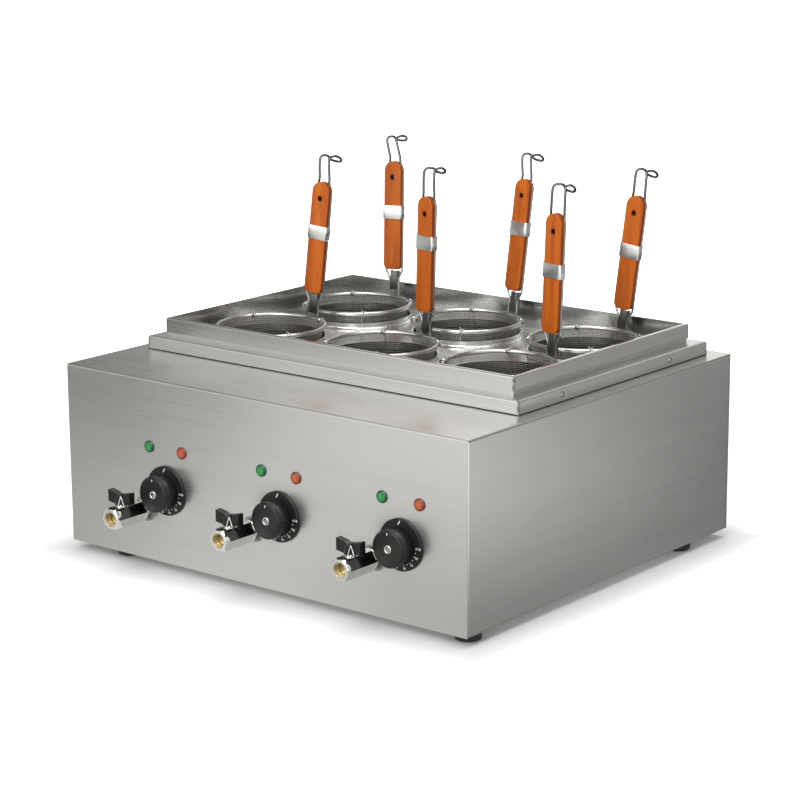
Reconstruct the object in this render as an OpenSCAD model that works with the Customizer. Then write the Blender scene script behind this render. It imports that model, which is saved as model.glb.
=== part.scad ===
// Counter-top pasta cooker: three electric tanks under a lift-off tray that holds six wire baskets.
// +X is the operator's right, -Y faces the operator, +Z is up, and z = 0 is the counter.

/* [Casing] */
// Width of the casing
casing_w = 630; // [620:1:700]
// Depth of the casing
casing_d = 550; // [540:1:620]
// Height of the casing above its feet
casing_h = 230; // [225:1:260]
// Thickness of the casing, collar and tray sheets
sheet = 1.2; // [0.8:0.1:1.5]
// Outer radius of the folds in the sheets
bend_r = 2.5; // [2:0.1:3.5]
// Width of the flanges folded in round each side panel
side_flange = 14; // [12:1:20]
// Diameter of a foot
foot_d = 31; // [24:1:36]
// Height of a foot
foot_h = 12; // [8:1:25]
// Foot centres from the right side of the casing
foot_inset_right = 22; // [20:1:40]
// Foot centres from the left side of the casing
foot_inset_left = 71; // [20:1:90]
// Front foot centres from the front of the casing
foot_inset_front = 31; // [22:1:60]
// Rear foot centres from the back of the casing
foot_inset_rear = 80; // [22:1:100]

/* [Collar and tray] */
// Casing beyond the collar at each side
collar_side = 21; // [15:1:23]
// Depth of the collar
collar_d = 402; // [398:1:420]
// Height of the collar above the deck
collar_h = 17.5; // [14:0.5:24]
// Middle of the well behind the middle of the casing
well_back = 50; // [40:1:60]
// Collar beyond the tray at each side
tray_side = 18; // [14:1:21]
// Depth of the tray
tray_d = 371; // [366:1:380]
// Height of the strip of collar that shows below the tray's rim
lip_h = 4; // [2:0.5:8]
// Height of the tray's folded rim
rim_h = 19; // [16:0.5:26]
// Tray floor above the deck
tray_lift = 5.5; // [4:0.5:9]
// Radius of a basket hole
hole_r = 70; // [69:0.5:71]
// Height of the drawn edge round a basket hole
hole_edge = 7.5; // [5:0.5:9]

/* [Baskets] */
// Distance between the two rows of baskets
row_pitch = 176; // [172:1:182]
// Outer diameter of a basket's hoop
hoop_d = 145; // [143:0.5:147]
// Diameter of the hoop's rod
hoop_rod = 5.5; // [4.5:0.5:6]
// Hoop centre above the tray floor
hoop_lift = 19.5; // [16:0.5:24]
// Depth of a cup below the hoop's centre
cup_depth = 165; // [150:1:167]
// Radius of the cup's floor
cup_floor_r = 60; // [54:1:62]
// Thickness of the woven cup
mesh_t = 0.8; // [0.6:0.1:1.2]
// Diameter of the tie wires under a cup
tie_d = 2; // [1.5:0.1:2.4]

/* [Basket handles] */
// Diameter of the handle wire
wire_d = 3; // [2.5:0.1:3.4]
// Width of the wooden grip
grip_w = 24; // [22:0.5:28]
// Thickness of the wooden grip
grip_t = 10; // [9:0.5:14]
// Length of the wooden grip
grip_l = 147; // [130:1:160]
// Lower end of the grip above the hoop's centre
grip_start = 31; // [29:1:40]
// Height of the steel band
band_h = 18; // [12:1:24]
// Lower edge of the band above the grip's lower end
band_start = 69; // [50:1:80]

/* [Tanks] */
// Space between the insides of neighbouring tanks
tank_gap = 24; // [22:1:30]
// Inner depth of a tank
tank_d = 348; // [340:1:352]
// Thickness of a tank's sheet
tank_t = 1; // [0.8:0.1:1.5]
// Width of the flange that hangs a tank in the deck
tank_flange = 8; // [5:1:9]
// Diameter of the grid's wires
grid_wire = 3; // [2.5:0.5:4]
// Diameter of the heating element's tube
heater_d = 8; // [6:0.5:10]
// Space between the grid and the heating element
heater_gap = 9.1; // [4:0.1:12]
// Heating element's middle above the tank floor
heater_rise = 14; // [10:0.5:20]

/* [Controls] */
// Height of the drain valves above the tank floor
valve_rise = 16.5; // [14:0.5:20]
// How far the valve mouths stand out in front
valve_reach = 62; // [60:1:70]
// Width across the flats of a valve body
valve_af = 25; // [24:0.5:28]
// Radius of the valve outlet's thread wall
outlet_r = 9.3; // [8.8:0.1:9.6]
// Depth of the outlet's thread
outlet_l = 10; // [8:0.5:10]
// Valve stem in front of the casing
stem_y = 41.5; // [40:0.5:42]
// Reach of a valve handle's wing
wing_l = 18; // [16:0.5:22]
// Knob centres to the right of the valves
knob_dx = 37.5; // [36:0.5:44]
// Height of the knobs above the drain valves
knob_rise = 24; // [22:0.5:40]
// Diameter of a knob
knob_d = 45; // [40:0.5:46]
// How far a knob stands out in front
knob_reach = 26.5; // [25:0.5:32]
// Diameter of a dial plate
dial_d = 62; // [56:0.5:64]
// Thickness of a dial plate
dial_t = 4; // [3:0.5:6]
// Diameter of a thermostat shaft
shaft_d = 6; // [5:0.5:7]
// Height of the lamps above the knobs
lamp_rise = 51.5; // [45:0.5:60]
// Diameter of a lamp's lens
lamp_d = 15; // [13:0.5:18]
// Green lamps to the right of the valves
green_dx = 9.5; // [8:0.5:16]
// Orange lamps to the right of the valves
orange_dx = 64; // [60:0.5:70]
// How far the cable gland stands out at the back
gland_reach = 18; // [14:0.5:24]
// Radius of the cable gland's bore
gland_r = 4; // [3:0.5:5]

/* [Hidden] */
$fn = 64;
// Clearance between a loose piece and its hole, and between a turning shaft and its bore
play = 0.3;
shaft_play = 0.05;
// Clearance of a screw or a tube in its hole
hole_play = 0.1;
// How far a cutting shape runs past the face it cuts
cut = 1;

steel = "silver";
bright = "gainsboro";
black = "#222222";
wood = "#c8641e";

// Levels and planes of the assembly
base_z = foot_h;
deck_z = base_z + casing_h;
casing_y = (valve_reach - gland_reach) / 2;
front_y = casing_y - casing_d / 2;
rear_y = casing_y + casing_d / 2;
well_y = casing_y + well_back;
collar_top = deck_z + collar_h;
rim_z = collar_top + lip_h;
tray_top = rim_z + rim_h;
tray_floor = deck_z + tray_lift;
hoop_z = tray_floor + hoop_lift;
// The tray is shared out in three equal bays, one for each column of baskets
collar_w = casing_w - 2 * collar_side;
tray_w = collar_w - 2 * tray_side;
column_pitch = tray_w / 3;
tank_w = column_pitch - tank_gap;
column_x = [-column_pitch, 0, column_pitch];
row_y = [well_y - row_pitch / 2, well_y + row_pitch / 2];
baskets = [for (y = row_y) for (x = column_x) [x, y]];

// Each basket as it was dropped in: turn about its own axis, then lean back, sway right and twist of its handle
basket_turn = [5, 10, 19, 1, 15, 5];
handle_lean = [3, 1, 1, 4.5, 7.5, 2];
handle_sway = [5, 1, 2, -2.5, 0, 6.5];
handle_twist = [11, 2, 11, 8, 7, 3];
// Each handle as it was bent by hand: its lift on the hoop, the reach and droop of its eye, and the hook's lean
handle_lift = [2, 0, -1, 5, 0, -2.5];
eye_reach = [35, 24, 26, 30, 25.5, 32];
eye_droop = [7.5, 6.5, 8.5, 5, 6, 11.5];
hook_lean = [0, 0, 0, -3.5, 0, 0];
// How much higher or lower each band was pressed on than band_start says
band_shift = [2.5, 10.5, -1, 0, 4, -2];

// Folded rim of the tray: outer skirt, gap for the collar's upstand, and inner wall
rim_play = 0.5;
rim_gap = sheet + 2 * rim_play;
rim_t = 2 * sheet + rim_gap;
wall_w = tray_w - 2 * (sheet + rim_gap);
wall_d = tray_d - 2 * (sheet + rim_gap);
upstand_w = tray_w - 2 * (sheet + rim_play);
upstand_d = tray_d - 2 * (sheet + rim_play);
seat_gap = 0.2;
edge_fillet = 3;

// Screws
screw_r = 2;
screw_head_r = 3.7;
screw_head_h = 2.4;
screw_l = 9;
tab_w = 22;
tab_h = 13;
collar_screw_y = [-115, 115];
collar_screw_z = 9;
rear_screw_z = [24, casing_h / 2, casing_h - 24];
base_screw_y = [-casing_d / 2 + 90, casing_d / 2 - 130];
flange_mid = side_flange / 2;

// Drain line
pipe_r = 10.5;
pipe_bore = 8;
pipe_flange_r = 15;
pipe_flange_t = 1.5;
neck_end = 10;
neck_l = 12;
ring_r = valve_af / 2 + 0.9;
ring_t = 3;
mouth_bevel = 0.6;
nut_af = 32;
nut_t = 6;
outer_nut_af = 28;
outer_nut_t = 4;
port_r = 6.5;
ball_r = 9.5;
seat_r = 9;
seat_end = 9.5;
stem_r = 4;
boss_r = 7;
boss_h = 1.5;
hub_r = 8;
hub_gap = 0.5;
hub_h = 12;
wing_t = 9;
wing_h = 14.5;
wing_rise = 2.5;
wing_root = 6;

// Thermostats
thermo_w = 38;
thermo_h = 36;
thermo_l = 38;
shaft_in = 12;
shaft_out = 13;
knob_gap = 0.4;
capillary_r = 1;
bulb_r = 3;
bulb_l = 85;
bulb_dx = tank_w / 2 - 5;
bend_angle = 60;
fitting_r = 7;
fitting_l = 8;

// Tanks, grids and heating elements
tank_front = well_y - tank_d / 2 - tank_t;
tank_corner = 12;
cup_floor = hoop_z - cup_depth;
grid_top = cup_floor - 2 * tie_d - play;
grid_half = tank_w / 2 - 6;
grid_end = tank_d / 2 - 6;
grid_leg_x = 60;
grid_bars = 13;
grid_weld = 0.4;
grid_foot = grid_top - 2 * grid_wire + grid_weld;
heater_half = 46;
heater_z = grid_foot - heater_gap - heater_d / 2;
tank_floor = heater_z - heater_rise;
heater_end = 60;
heater_pin_r = 2;
heater_pin_l = 14;

// The drains follow the tank floor, and the knobs and lamps follow the drains
valve_z = tank_floor - base_z + valve_rise;
knob_z = valve_z + knob_rise;
lamp_z = knob_z + lamp_rise;
// Places of the three drain valves in the front, as the pipes were fitted
valve_drop = 5;
valve_x = [column_x[0], column_x[1] - 5, column_x[2] - 3];
valve_h = [valve_z - valve_drop, valve_z + 1, valve_z + 1];

// Baskets
hoop_r = (hoop_d - hoop_rod) / 2;
cup_top_r = hoop_r - hoop_rod / 2 - play;
cup_corner = 14;
handle_r = hoop_r + (hoop_rod + wire_d) / 2 + hole_play;
tie_gap = 0.1;
wire_sides = 8;
tie_sides = 6;
tie_step = 18;
foot_half = 7.5;
grip_half = grip_w / 2 - 0.5;
hook_half = 7.5;
neck_half = wire_d / 2 + 0.6;
eye_half = 5.5;
grip_end = grip_start + grip_l;
hook_rise = 33.5;
neck_back = 9;
bracket_t = 1.2;
bracket_depth = 7;
bracket_z = [3.2, 26];
grip_hole_r = 3;
grip_hole_drop = 22;
groove_play = 0.15;
groove_back = 1.5;
band_t = 0.6;

basket_names = [for (i = [1:6]) str("basket_", i)];
sides = ["left", "middle", "right"];

// Places its children on the front face: local z points out at the operator, local y points up
module on_front(x, z) {
  translate([x, front_y, base_z + z]) rotate([90, 0, 0]) children();
}

// Places its children on a drain valve's axis, where it leaves the front face
module at_valve(k) {
  on_front(valve_x[k], valve_h[k]) children();
}

// Places its children in every column of the machine
module in_columns() {
  for (x = column_x) translate([x, 0, 0]) children();
}

// Block standing on z = 0, centred in x and y
module block(w, d, h) {
  translate([-w / 2, -d / 2, 0]) cube([w, d, h]);
}

// Rectangle standing on y = 0 with rounded upper corners
module fold_section(w, h, r) {
  translate([-w / 2, 0]) square([w, h - r]);
  translate([-w / 2 + r, 0]) square([w - 2 * r, h]);
  for (s = [-1, 1]) translate([s * (w / 2 - r), h - r]) circle(r);
}

// Block with its four upper edges rounded, as a box folded from sheet has them
module folded_block(w, d, h, r) {
  intersection() {
    rotate([90, 0, 0]) linear_extrude(d, center = true) fold_section(w, h, r);
    rotate([90, 0, 90]) linear_extrude(w, center = true) fold_section(d, h, r);
  }
}

// Rectangle with four rounded corners
module round_rect(w, d, r) {
  square([w - 2 * r, d], center = true);
  square([w, d - 2 * r], center = true);
  for (x = [-1, 1]) for (y = [-1, 1]) translate([x * (w / 2 - r), y * (d / 2 - r)]) circle(r);
}

// Upright prism on a rounded rectangle
module round_block(w, d, h, r) {
  linear_extrude(h) round_rect(w, d, r);
}

// Hexagonal prism by its width across the flats
module hex_prism(af, h) {
  cylinder(h = h, d = af / cos(30), $fn = 6);
}

// Pan-head screw: the head sits on z = 0 and the shank points down
module screw() {
  rotate_extrude() {
    translate([0, -screw_l]) square([screw_r, screw_l + screw_head_h / 2]);
    intersection() {
      square([screw_head_r, screw_head_h]);
      translate([0, screw_head_h - 5]) circle(5);
    }
  }
}

module screw_hole() {
  translate([0, 0, -screw_l - cut]) cylinder(h = screw_l + 2 * cut, r = screw_r + hole_play);
}

// Places of the casing's screws, with z pointing out of the sheet that they hold
module at_rear_screws() {
  for (s = [-1, 1]) for (z = rear_screw_z)
    translate([s * (casing_w / 2 - flange_mid), rear_y, base_z + z]) rotate([-90, 0, 0]) children();
}

module at_base_screws() {
  for (s = [-1, 1]) for (y = base_screw_y)
    translate([s * (casing_w / 2 - flange_mid), casing_y + y, base_z]) rotate([180, 0, 0]) children();
}

module at_collar_screws() {
  for (s = [-1, 1]) for (y = collar_screw_y)
    translate([s * collar_w / 2, well_y + y, deck_z + collar_screw_z]) rotate([0, s * 90, 0]) children();
}

// Foot places in the casing's plan
foot_x = [-casing_w / 2 + foot_inset_left, casing_w / 2 - foot_inset_right];
foot_y = [front_y + foot_inset_front, rear_y - foot_inset_rear];
foot_stud_r = 3;
foot_stud_l = 7;
foot_taper = 1.5;

// Front and deck: one sheet folded at the top front edge, with welded tabs that hold the collar
module front_top_panel() {
  color(steel) difference() {
    union() {
      translate([0, front_y, base_z]) rotate([90, 0, 90]) linear_extrude(casing_w, center = true)
        front_deck_section();
      for (s = [-1, 1]) for (y = collar_screw_y)
        translate([s * (collar_w / 2 - 1.5 * sheet), well_y + y, deck_z]) block(sheet, tab_w, tab_h);
    }
    in_columns() translate([0, well_y, deck_z - sheet - cut])
      round_block(tank_w + 2 * tank_t + 2 * play, tank_d + 2 * tank_t + 2 * play, sheet + 2 * cut, tank_corner);
    for (k = [0:2]) front_hole(valve_x[k], valve_h[k], pipe_r + play);
    for (x = column_x) {
      front_hole(x + knob_dx, knob_z, shaft_d / 2 + 1);
      front_hole(x + green_dx, lamp_z, lamp_shank_r + hole_play);
      front_hole(x + orange_dx, lamp_z, lamp_shank_r + hole_play);
    }
    at_collar_screws() screw_hole();
  }
}

// Section of the folded front and deck: y is up, x runs to the back, the outer fold is at the upper left
module front_deck_section() {
  run = casing_d - sheet;
  difference() {
    fold_corner(run, casing_h, bend_r);
    translate([sheet, -cut]) fold_corner(run, casing_h - sheet + cut, bend_r - sheet);
  }
}

// Rectangle from the origin with its upper left corner rounded
module fold_corner(w, h, r) {
  square([w, h - r]);
  translate([r, 0]) square([w - r, h]);
  translate([r, h - r]) circle(r);
}

module front_hole(x, z, r) {
  on_front(x, z) translate([0, 0, -sheet - cut]) cylinder(h = sheet + 2 * cut, r = r);
}

// Right side panel: a shallow pan whose edges are folded in behind the front, deck, base and rear sheets
module side_panel() {
  len_y = casing_d - 2 * sheet;
  h = casing_h - 2 * sheet;
  difference() {
    translate([casing_w / 2, casing_y, base_z + sheet + h / 2]) rotate([0, -90, 0]) rotate([0, 0, 180])
      pan(h, len_y, side_flange);
    at_rear_screws() screw_hole();
    at_base_screws() screw_hole();
  }
}

// Pan lying on z = 0 with its floor outside, rounded along its four floor edges, open at the top
module pan(w, d, h) {
  difference() {
    translate([0, 0, h]) mirror([0, 0, 1]) folded_block(w, d, h, bend_r);
    translate([0, 0, sheet]) block(w - 2 * sheet, d - 2 * sheet, h);
  }
}

module right_side_panel() {
  color(steel) side_panel();
}

module left_side_panel() {
  color(steel) mirror([1, 0, 0]) side_panel();
}

// Rear panel with two banks of ventilation slots
slot_w = 4;
slot_h = 46;
slot_pitch = 12;
slot_count = 9;
slot_z = 120;
slot_bank_x = casing_w / 2 - 165;
gland_x = -casing_w / 2 + 115;
gland_z = 52;
gland_shank_r = 9;

module rear_panel() {
  color(steel) difference() {
    translate([0, rear_y - sheet / 2, base_z]) block(casing_w, sheet, casing_h);
    for (s = [-1, 1]) for (i = [0:slot_count - 1])
      translate([s * slot_bank_x + (i - (slot_count - 1) / 2) * slot_pitch, rear_y, base_z + slot_z])
        rotate([90, 0, 0]) linear_extrude(4 * sheet, center = true)
          round_rect(slot_w, slot_h, slot_w / 2 - 0.01);
    translate([gland_x, rear_y, base_z + gland_z]) rotate([90, 0, 0])
      cylinder(h = 4 * sheet, r = gland_shank_r + hole_play, center = true);
    at_rear_screws() screw_hole();
  }
}

// Base plate that closes the casing from below and carries the feet
module base_plate() {
  len_y = casing_d - 2 * sheet;
  color(steel) difference() {
    translate([0, casing_y, base_z]) block(casing_w - 2 * sheet, len_y, sheet);
    for (x = foot_x) for (y = foot_y)
      translate([x, y, base_z - cut]) cylinder(h = sheet + 2 * cut, r = foot_stud_r + hole_play);
    at_base_screws() screw_hole();
  }
}

module feet() {
  color(black) for (x = foot_x) for (y = foot_y) translate([x, y, 0]) {
    rotate_extrude() polygon([
      [0, 0], [foot_d / 2 - foot_taper, 0], [foot_d / 2, foot_taper], [foot_d / 2, foot_h],
      [foot_stud_r, foot_h], [foot_stud_r, foot_h + foot_stud_l], [0, foot_h + foot_stud_l]
    ]);
  }
}

module casing_screws() {
  color(bright) {
    at_rear_screws() screw();
    at_base_screws() screw();
    at_collar_screws() screw();
  }
}

// Raised collar: a folded frame on the deck whose inner edge stands up to carry the tray
module tank_collar() {
  upstand_h = tray_top - sheet - seat_gap - collar_top;
  color(steel) difference() {
    translate([0, well_y, deck_z]) difference() {
      union() {
        difference() {
          folded_block(collar_w, collar_d, collar_h, bend_r);
          translate([0, 0, -cut])
            folded_block(collar_w - 2 * sheet, collar_d - 2 * sheet, collar_h - sheet + cut, bend_r - sheet);
        }
        translate([0, 0, collar_h - sheet]) block(upstand_w, upstand_d, upstand_h + sheet);
      }
      translate([0, 0, -cut])
        block(upstand_w - 2 * sheet, upstand_d - 2 * sheet, collar_h + upstand_h + 2 * cut);
    }
    at_collar_screws() screw_hole();
  }
}

// Splash tray: a pan with a rim folded down over the collar's upstand and six drawn holes
module basket_tray() {
  under = tray_floor - sheet;
  h = tray_top - under;
  color(steel) difference() {
    union() {
      translate([0, well_y, under]) difference() {
        folded_block(tray_w, tray_d, h, rim_t / 2 - 0.1);
        translate([0, 0, sheet]) block(wall_w - 2 * sheet, wall_d - 2 * sheet, h);
        difference() {
          translate([0, 0, -cut]) block(tray_w - 2 * sheet, tray_d - 2 * sheet, h - sheet + cut);
          translate([0, 0, -2 * cut]) block(wall_w, wall_d, h + 4 * cut);
        }
        difference() {
          translate([0, 0, -cut]) block(tray_w + 2 * cut, tray_d + 2 * cut, rim_z - under + cut);
          translate([0, 0, -2 * cut]) block(wall_w, wall_d, h + 4 * cut);
        }
      }
      for (b = baskets) translate([b.x, b.y, under]) rotate_extrude() hole_edge_section();
    }
    for (b = baskets) translate([b.x, b.y, under - cut]) cylinder(h = h, r = hole_r);
  }
}

// Half section of a drawn hole's edge, with the hole still closed
module hole_edge_section() {
  outer = hole_r + sheet;
  square([outer, sheet + hole_edge]);
  difference() {
    square([outer + edge_fillet, sheet + edge_fillet]);
    translate([outer + edge_fillet, sheet + edge_fillet]) circle(edge_fillet);
  }
}

// Tank hung in the deck by its flange, with holes for the drain, the heater's ends and the thermostat bulb
module tank(k) {
  x = column_x[k];
  w = tank_w + 2 * tank_t;
  d = tank_d + 2 * tank_t;
  depth = deck_z - tank_floor;
  color(bright) difference() {
    union() {
      translate([x, well_y, tank_floor - tank_t]) round_block(w, d, depth + tank_t, tank_corner);
      translate([x, well_y, deck_z])
        round_block(w + 2 * tank_flange, d + 2 * tank_flange, tank_t, tank_corner + tank_flange);
    }
    translate([x, well_y, tank_floor]) round_block(tank_w, tank_d, depth + 2 * cut, tank_corner - tank_t);
    tank_hole(valve_x[k], base_z + valve_h[k], pipe_r + hole_play);
    for (s = [-1, 1]) tank_hole(x + s * heater_half, heater_z, heater_d / 2 + hole_play);
    tank_hole(x + bulb_dx - tank_corner, base_z + knob_z, bulb_r + hole_play);
  }
}

module tank_hole(x, z, r) {
  translate([x, tank_front - cut, z]) rotate([-90, 0, 0]) cylinder(h = tank_t + 2 * cut, r = r);
}

module left_tank() {
  tank(0);
}

module middle_tank() {
  tank(1);
}

module right_tank() {
  tank(2);
}

// Wire grid on four legs that the baskets stand on
module tank_grids() {
  bar_z = grid_top - grid_wire / 2;
  rail_z = bar_z - grid_wire + grid_weld;
  r = grid_wire / 2;
  color(bright) in_columns() translate([0, well_y, 0]) {
    for (i = [0:grid_bars - 1])
      translate([-grid_half, -grid_end + 2 * grid_end * (i + 0.5) / grid_bars, bar_z]) rotate([0, 90, 0])
        cylinder(h = 2 * grid_half, r = r);
    for (x = [-grid_leg_x, 0, grid_leg_x])
      translate([x, -grid_end, rail_z]) rotate([-90, 0, 0]) cylinder(h = 2 * grid_end, r = r);
    for (x = [-grid_leg_x, grid_leg_x]) for (s = [-1, 1])
      translate([x, s * (grid_end - 4 * grid_wire), tank_floor]) cylinder(h = rail_z - tank_floor, r = r);
  }
}

// Heating element: a hairpin tube whose ends pass through the tank's front wall in clamped fittings
module heating_elements() {
  r = heater_d / 2;
  turn_y = well_y + tank_d / 2 - heater_half - heater_end;
  color("dimgray") in_columns() translate([0, 0, heater_z]) {
    translate([0, turn_y, 0]) rotate_extrude(angle = 180) translate([heater_half, 0]) circle(r);
    for (s = [-1, 1]) translate([s * heater_half, tank_front, 0]) {
      translate([0, -fitting_l, 0]) rotate([-90, 0, 0]) cylinder(h = turn_y - tank_front + fitting_l, r = r);
      rotate([90, 0, 0]) hex_prism(2 * fitting_r, fitting_l);
      rotate([90, 0, 0]) cylinder(h = fitting_l + heater_pin_l, r = heater_pin_r);
    }
  }
}

// Capillary thermostat: the body behind the front sheet, and a thin tube that bends over to the bulb
module thermostats() {
  gap = bulb_dx - tank_corner - knob_dx;
  radius = gap / (2 * (1 - cos(bend_angle)));
  body_end = front_y + sheet + thermo_l;
  bend_l = 2 * radius * sin(bend_angle);
  start = (body_end + tank_front - fitting_l - bend_l) / 2;
  color("dimgray") in_columns() translate([knob_dx, 0, base_z + knob_z]) {
    difference() {
      translate([-thermo_w / 2, front_y + sheet, -thermo_h / 2]) cube([thermo_w, thermo_l, thermo_h]);
      translate([0, front_y, 0]) rotate([-90, 0, 0])
        cylinder(h = sheet + shaft_in + 1, d = shaft_d + 2 * shaft_play);
    }
    wire(concat(
      [[0, body_end + hole_play, 0]],
      [for (a = [0:12:bend_angle]) [radius * (1 - cos(a)), start + radius * sin(a), 0]],
      [for (a = [bend_angle - 12:-12:0]) [gap - radius * (1 - cos(a)), start + bend_l - radius * sin(a), 0]],
      [[gap, tank_front - fitting_l - hole_play, 0]]
    ), 2 * capillary_r, wire_sides);
    translate([gap, tank_front, 0]) rotate([90, 0, 0]) hex_prism(2 * fitting_r, fitting_l);
    tube_y(gap, tank_front - 1, tank_front + bulb_l, bulb_r);
  }
}

// Round bar along y from one end to the other
module tube_y(x, y0, y1, r) {
  translate([x, y0, 0]) rotate([-90, 0, 0]) cylinder(h = y1 - y0, r = r);
}

// Fixed dial plate behind a knob
module dial_plates() {
  chamfer = 1;
  color(black) for (x = column_x) on_front(x + knob_dx, knob_z) difference() {
    rotate_extrude() polygon([
      [0, 0], [dial_d / 2, 0], [dial_d / 2, dial_t - chamfer], [dial_d / 2 - chamfer, dial_t], [0, dial_t]
    ]);
    translate([0, 0, -cut]) cylinder(h = dial_t + 2 * cut, r = shaft_d / 2 + 1);
  }
}

// Knob with a dished face, pushed on the thermostat's shaft
knob_back = dial_t + knob_gap;
knob_round = 2.5;
dish_r = 60;
dish_depth = 1.6;
knob_taper = 2.5;

module knob(x) {
  h = knob_reach - knob_back;
  color(black) on_front(x + knob_dx, knob_z) translate([0, 0, knob_back]) difference() {
    rotate_extrude() {
      polygon([[0, 0], [knob_d / 2 - knob_taper, 0], [knob_d / 2, h - knob_round], [0, h - knob_round]]);
      square([knob_d / 2 - knob_round, h]);
      translate([knob_d / 2 - knob_round, h - knob_round]) circle(knob_round);
    }
    translate([0, 0, h + dish_r - dish_depth]) sphere(dish_r, $fn = 128);
    translate([0, 0, -cut]) cylinder(h = shaft_out + 1 + cut, d = shaft_d + 2 * shaft_play);
  }
}

module thermostat_shaft(x) {
  color(bright) on_front(x + knob_dx, knob_z)
    translate([0, 0, -sheet - shaft_in]) cylinder(h = sheet + shaft_in + knob_back + shaft_out, d = shaft_d);
}

module left_knob() {
  knob(column_x[0]);
}

module middle_knob() {
  knob(column_x[1]);
}

module right_knob() {
  knob(column_x[2]);
}

module left_thermostat_shaft() {
  thermostat_shaft(column_x[0]);
}

module middle_thermostat_shaft() {
  thermostat_shaft(column_x[1]);
}

module right_thermostat_shaft() {
  thermostat_shaft(column_x[2]);
}

// Lamp: a domed lens on the front face with its body behind the sheet
lamp_shank_r = 5.8;
lamp_l = 26;
lens_t = 1.6;
lens_dome = 1.4;

module lamps(dx) {
  dome_r = (pow(lamp_d / 2, 2) + pow(lens_dome, 2)) / (2 * lens_dome);
  for (x = column_x) on_front(x + dx, lamp_z) rotate_extrude() {
    translate([0, -lamp_l]) square([lamp_shank_r, lamp_l + lens_t]);
    intersection() {
      square([lamp_d / 2, lens_t + lens_dome]);
      translate([0, lens_t + lens_dome - dome_r]) circle(dome_r, $fn = 128);
    }
  }
}

module green_lamps() {
  color("seagreen") lamps(green_dx);
}

module orange_lamps() {
  color("orangered") lamps(orange_dx);
}

// Drain pipe from the tank's front wall to the neck of the valve
module drain_pipes() {
  y0 = front_y + neck_end;
  color(bright) for (k = [0:2]) translate([valve_x[k], 0, base_z + valve_h[k]]) difference() {
    union() {
      tube_y(0, y0, tank_front + tank_t, pipe_r);
      tube_y(0, tank_front - pipe_flange_t, tank_front, pipe_flange_r);
    }
    tube_y(0, y0 - cut, tank_front + tank_t + cut, pipe_bore);
  }
}

// Ball valve body: hexagonal barrel with a threaded outlet, a ball chamber, a stem boss and a threaded neck
module valve_bodies() {
  color("lightgray") for (k = [0:2]) at_valve(k) difference() {
    union() {
      intersection() {
        translate([0, 0, neck_l]) hex_prism(valve_af, valve_reach - neck_l);
        rotate_extrude() polygon([
          [0, neck_l - cut], [valve_af, neck_l - cut], [valve_af, valve_reach - valve_af / 2 - mouth_bevel],
          [valve_af / 2 - mouth_bevel, valve_reach], [0, valve_reach]
        ]);
      }
      translate([0, 0, neck_l - ring_t]) cylinder(h = ring_t, r = ring_r);
      translate([0, 0, -neck_end]) cylinder(h = neck_end + neck_l, r = pipe_r);
      stem_cylinder(0, valve_af / 2 + boss_h, boss_r);
    }
    translate([0, 0, valve_reach - outlet_l]) cylinder(h = outlet_l + cut, r = outlet_r);
    translate([0, 0, -neck_end - cut]) cylinder(h = valve_reach, r = port_r);
    translate([0, 0, -neck_end - cut]) cylinder(h = neck_end + cut + stem_y - seat_end - 2, r = pipe_bore);
    translate([0, 0, stem_y - seat_end]) cylinder(h = 2 * seat_end, r = seat_r + hole_play);
    translate([0, 0, stem_y]) sphere(ball_r + play);
    stem_cylinder(0, valve_af / 2 + boss_h + cut, stem_r + shaft_play);
  }
}

// Upright cylinder on the stem's axis, in the frame of on_front
module stem_cylinder(y0, y1, r) {
  translate([0, y0, stem_y]) rotate([-90, 0, 0]) cylinder(h = y1 - y0, r = r);
}

// Two seat rings for each valve's ball
module valve_seats() {
  inner = sqrt(pow(ball_r, 2) - pow(seat_r, 2)) + 1;
  color("white") for (k = [0:2]) at_valve(k) translate([0, 0, stem_y]) difference() {
    for (s = [0, 1]) mirror([0, 0, s]) translate([0, 0, inner]) cylinder(h = seat_end - inner, r = seat_r);
    cylinder(h = 3 * seat_end, r = port_r, center = true);
    sphere(ball_r + play);
  }
}

// Lock nuts that clamp the valve's neck on both sides of the front sheet
module valve_locknuts() {
  color(bright) for (k = [0:2]) at_valve(k) {
    translate([0, 0, -sheet - nut_t]) nut(nut_af, nut_t);
    nut(outer_nut_af, outer_nut_t);
  }
}

module nut(af, h) {
  difference() {
    hex_prism(af, h);
    translate([0, 0, -cut]) cylinder(h = h + 2 * cut, r = pipe_r + hole_play);
  }
}

// Ball with its port across the pipe, and the stem that the handle turns
module valve_ball(k) {
  top = hub_bottom + hub_h - 2;
  color(bright) at_valve(k) translate([0, 0, stem_y]) difference() {
    rotate([-90, 0, 0]) rotate([0, 0, 45]) rotate_extrude() {
      square([stem_r, top]);
      intersection() {
        circle(ball_r);
        translate([0, -ball_r]) square([ball_r, 2 * ball_r]);
      }
    }
    rotate([0, 90, 0]) cylinder(h = 3 * ball_r, r = port_r, center = true);
  }
}

hub_bottom = valve_af / 2 + boss_h + hub_gap;

// Butterfly handle across the pipe: two thick wings that rise outwards, with a notch between them
module valve_handle(k) {
  color(black) at_valve(k) difference() {
    union() {
      stem_cylinder(hub_bottom, hub_bottom + hub_h, hub_r);
      for (s = [0, 1]) mirror([s, 0, 0]) translate([0, hub_bottom, stem_y - wing_t / 2]) linear_extrude(wing_t)
        polygon([
          [0, 0.5], [wing_root, 0.5], [wing_l, wing_rise], [wing_l, wing_rise + wing_h],
          [wing_root, wing_h], [0, hub_h - 1]
        ]);
    }
    stem_cylinder(hub_bottom - cut, hub_bottom + hub_h - 2 + shaft_play, stem_r + shaft_play);
  }
}

module left_valve_ball() {
  valve_ball(0);
}

module middle_valve_ball() {
  valve_ball(1);
}

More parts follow.
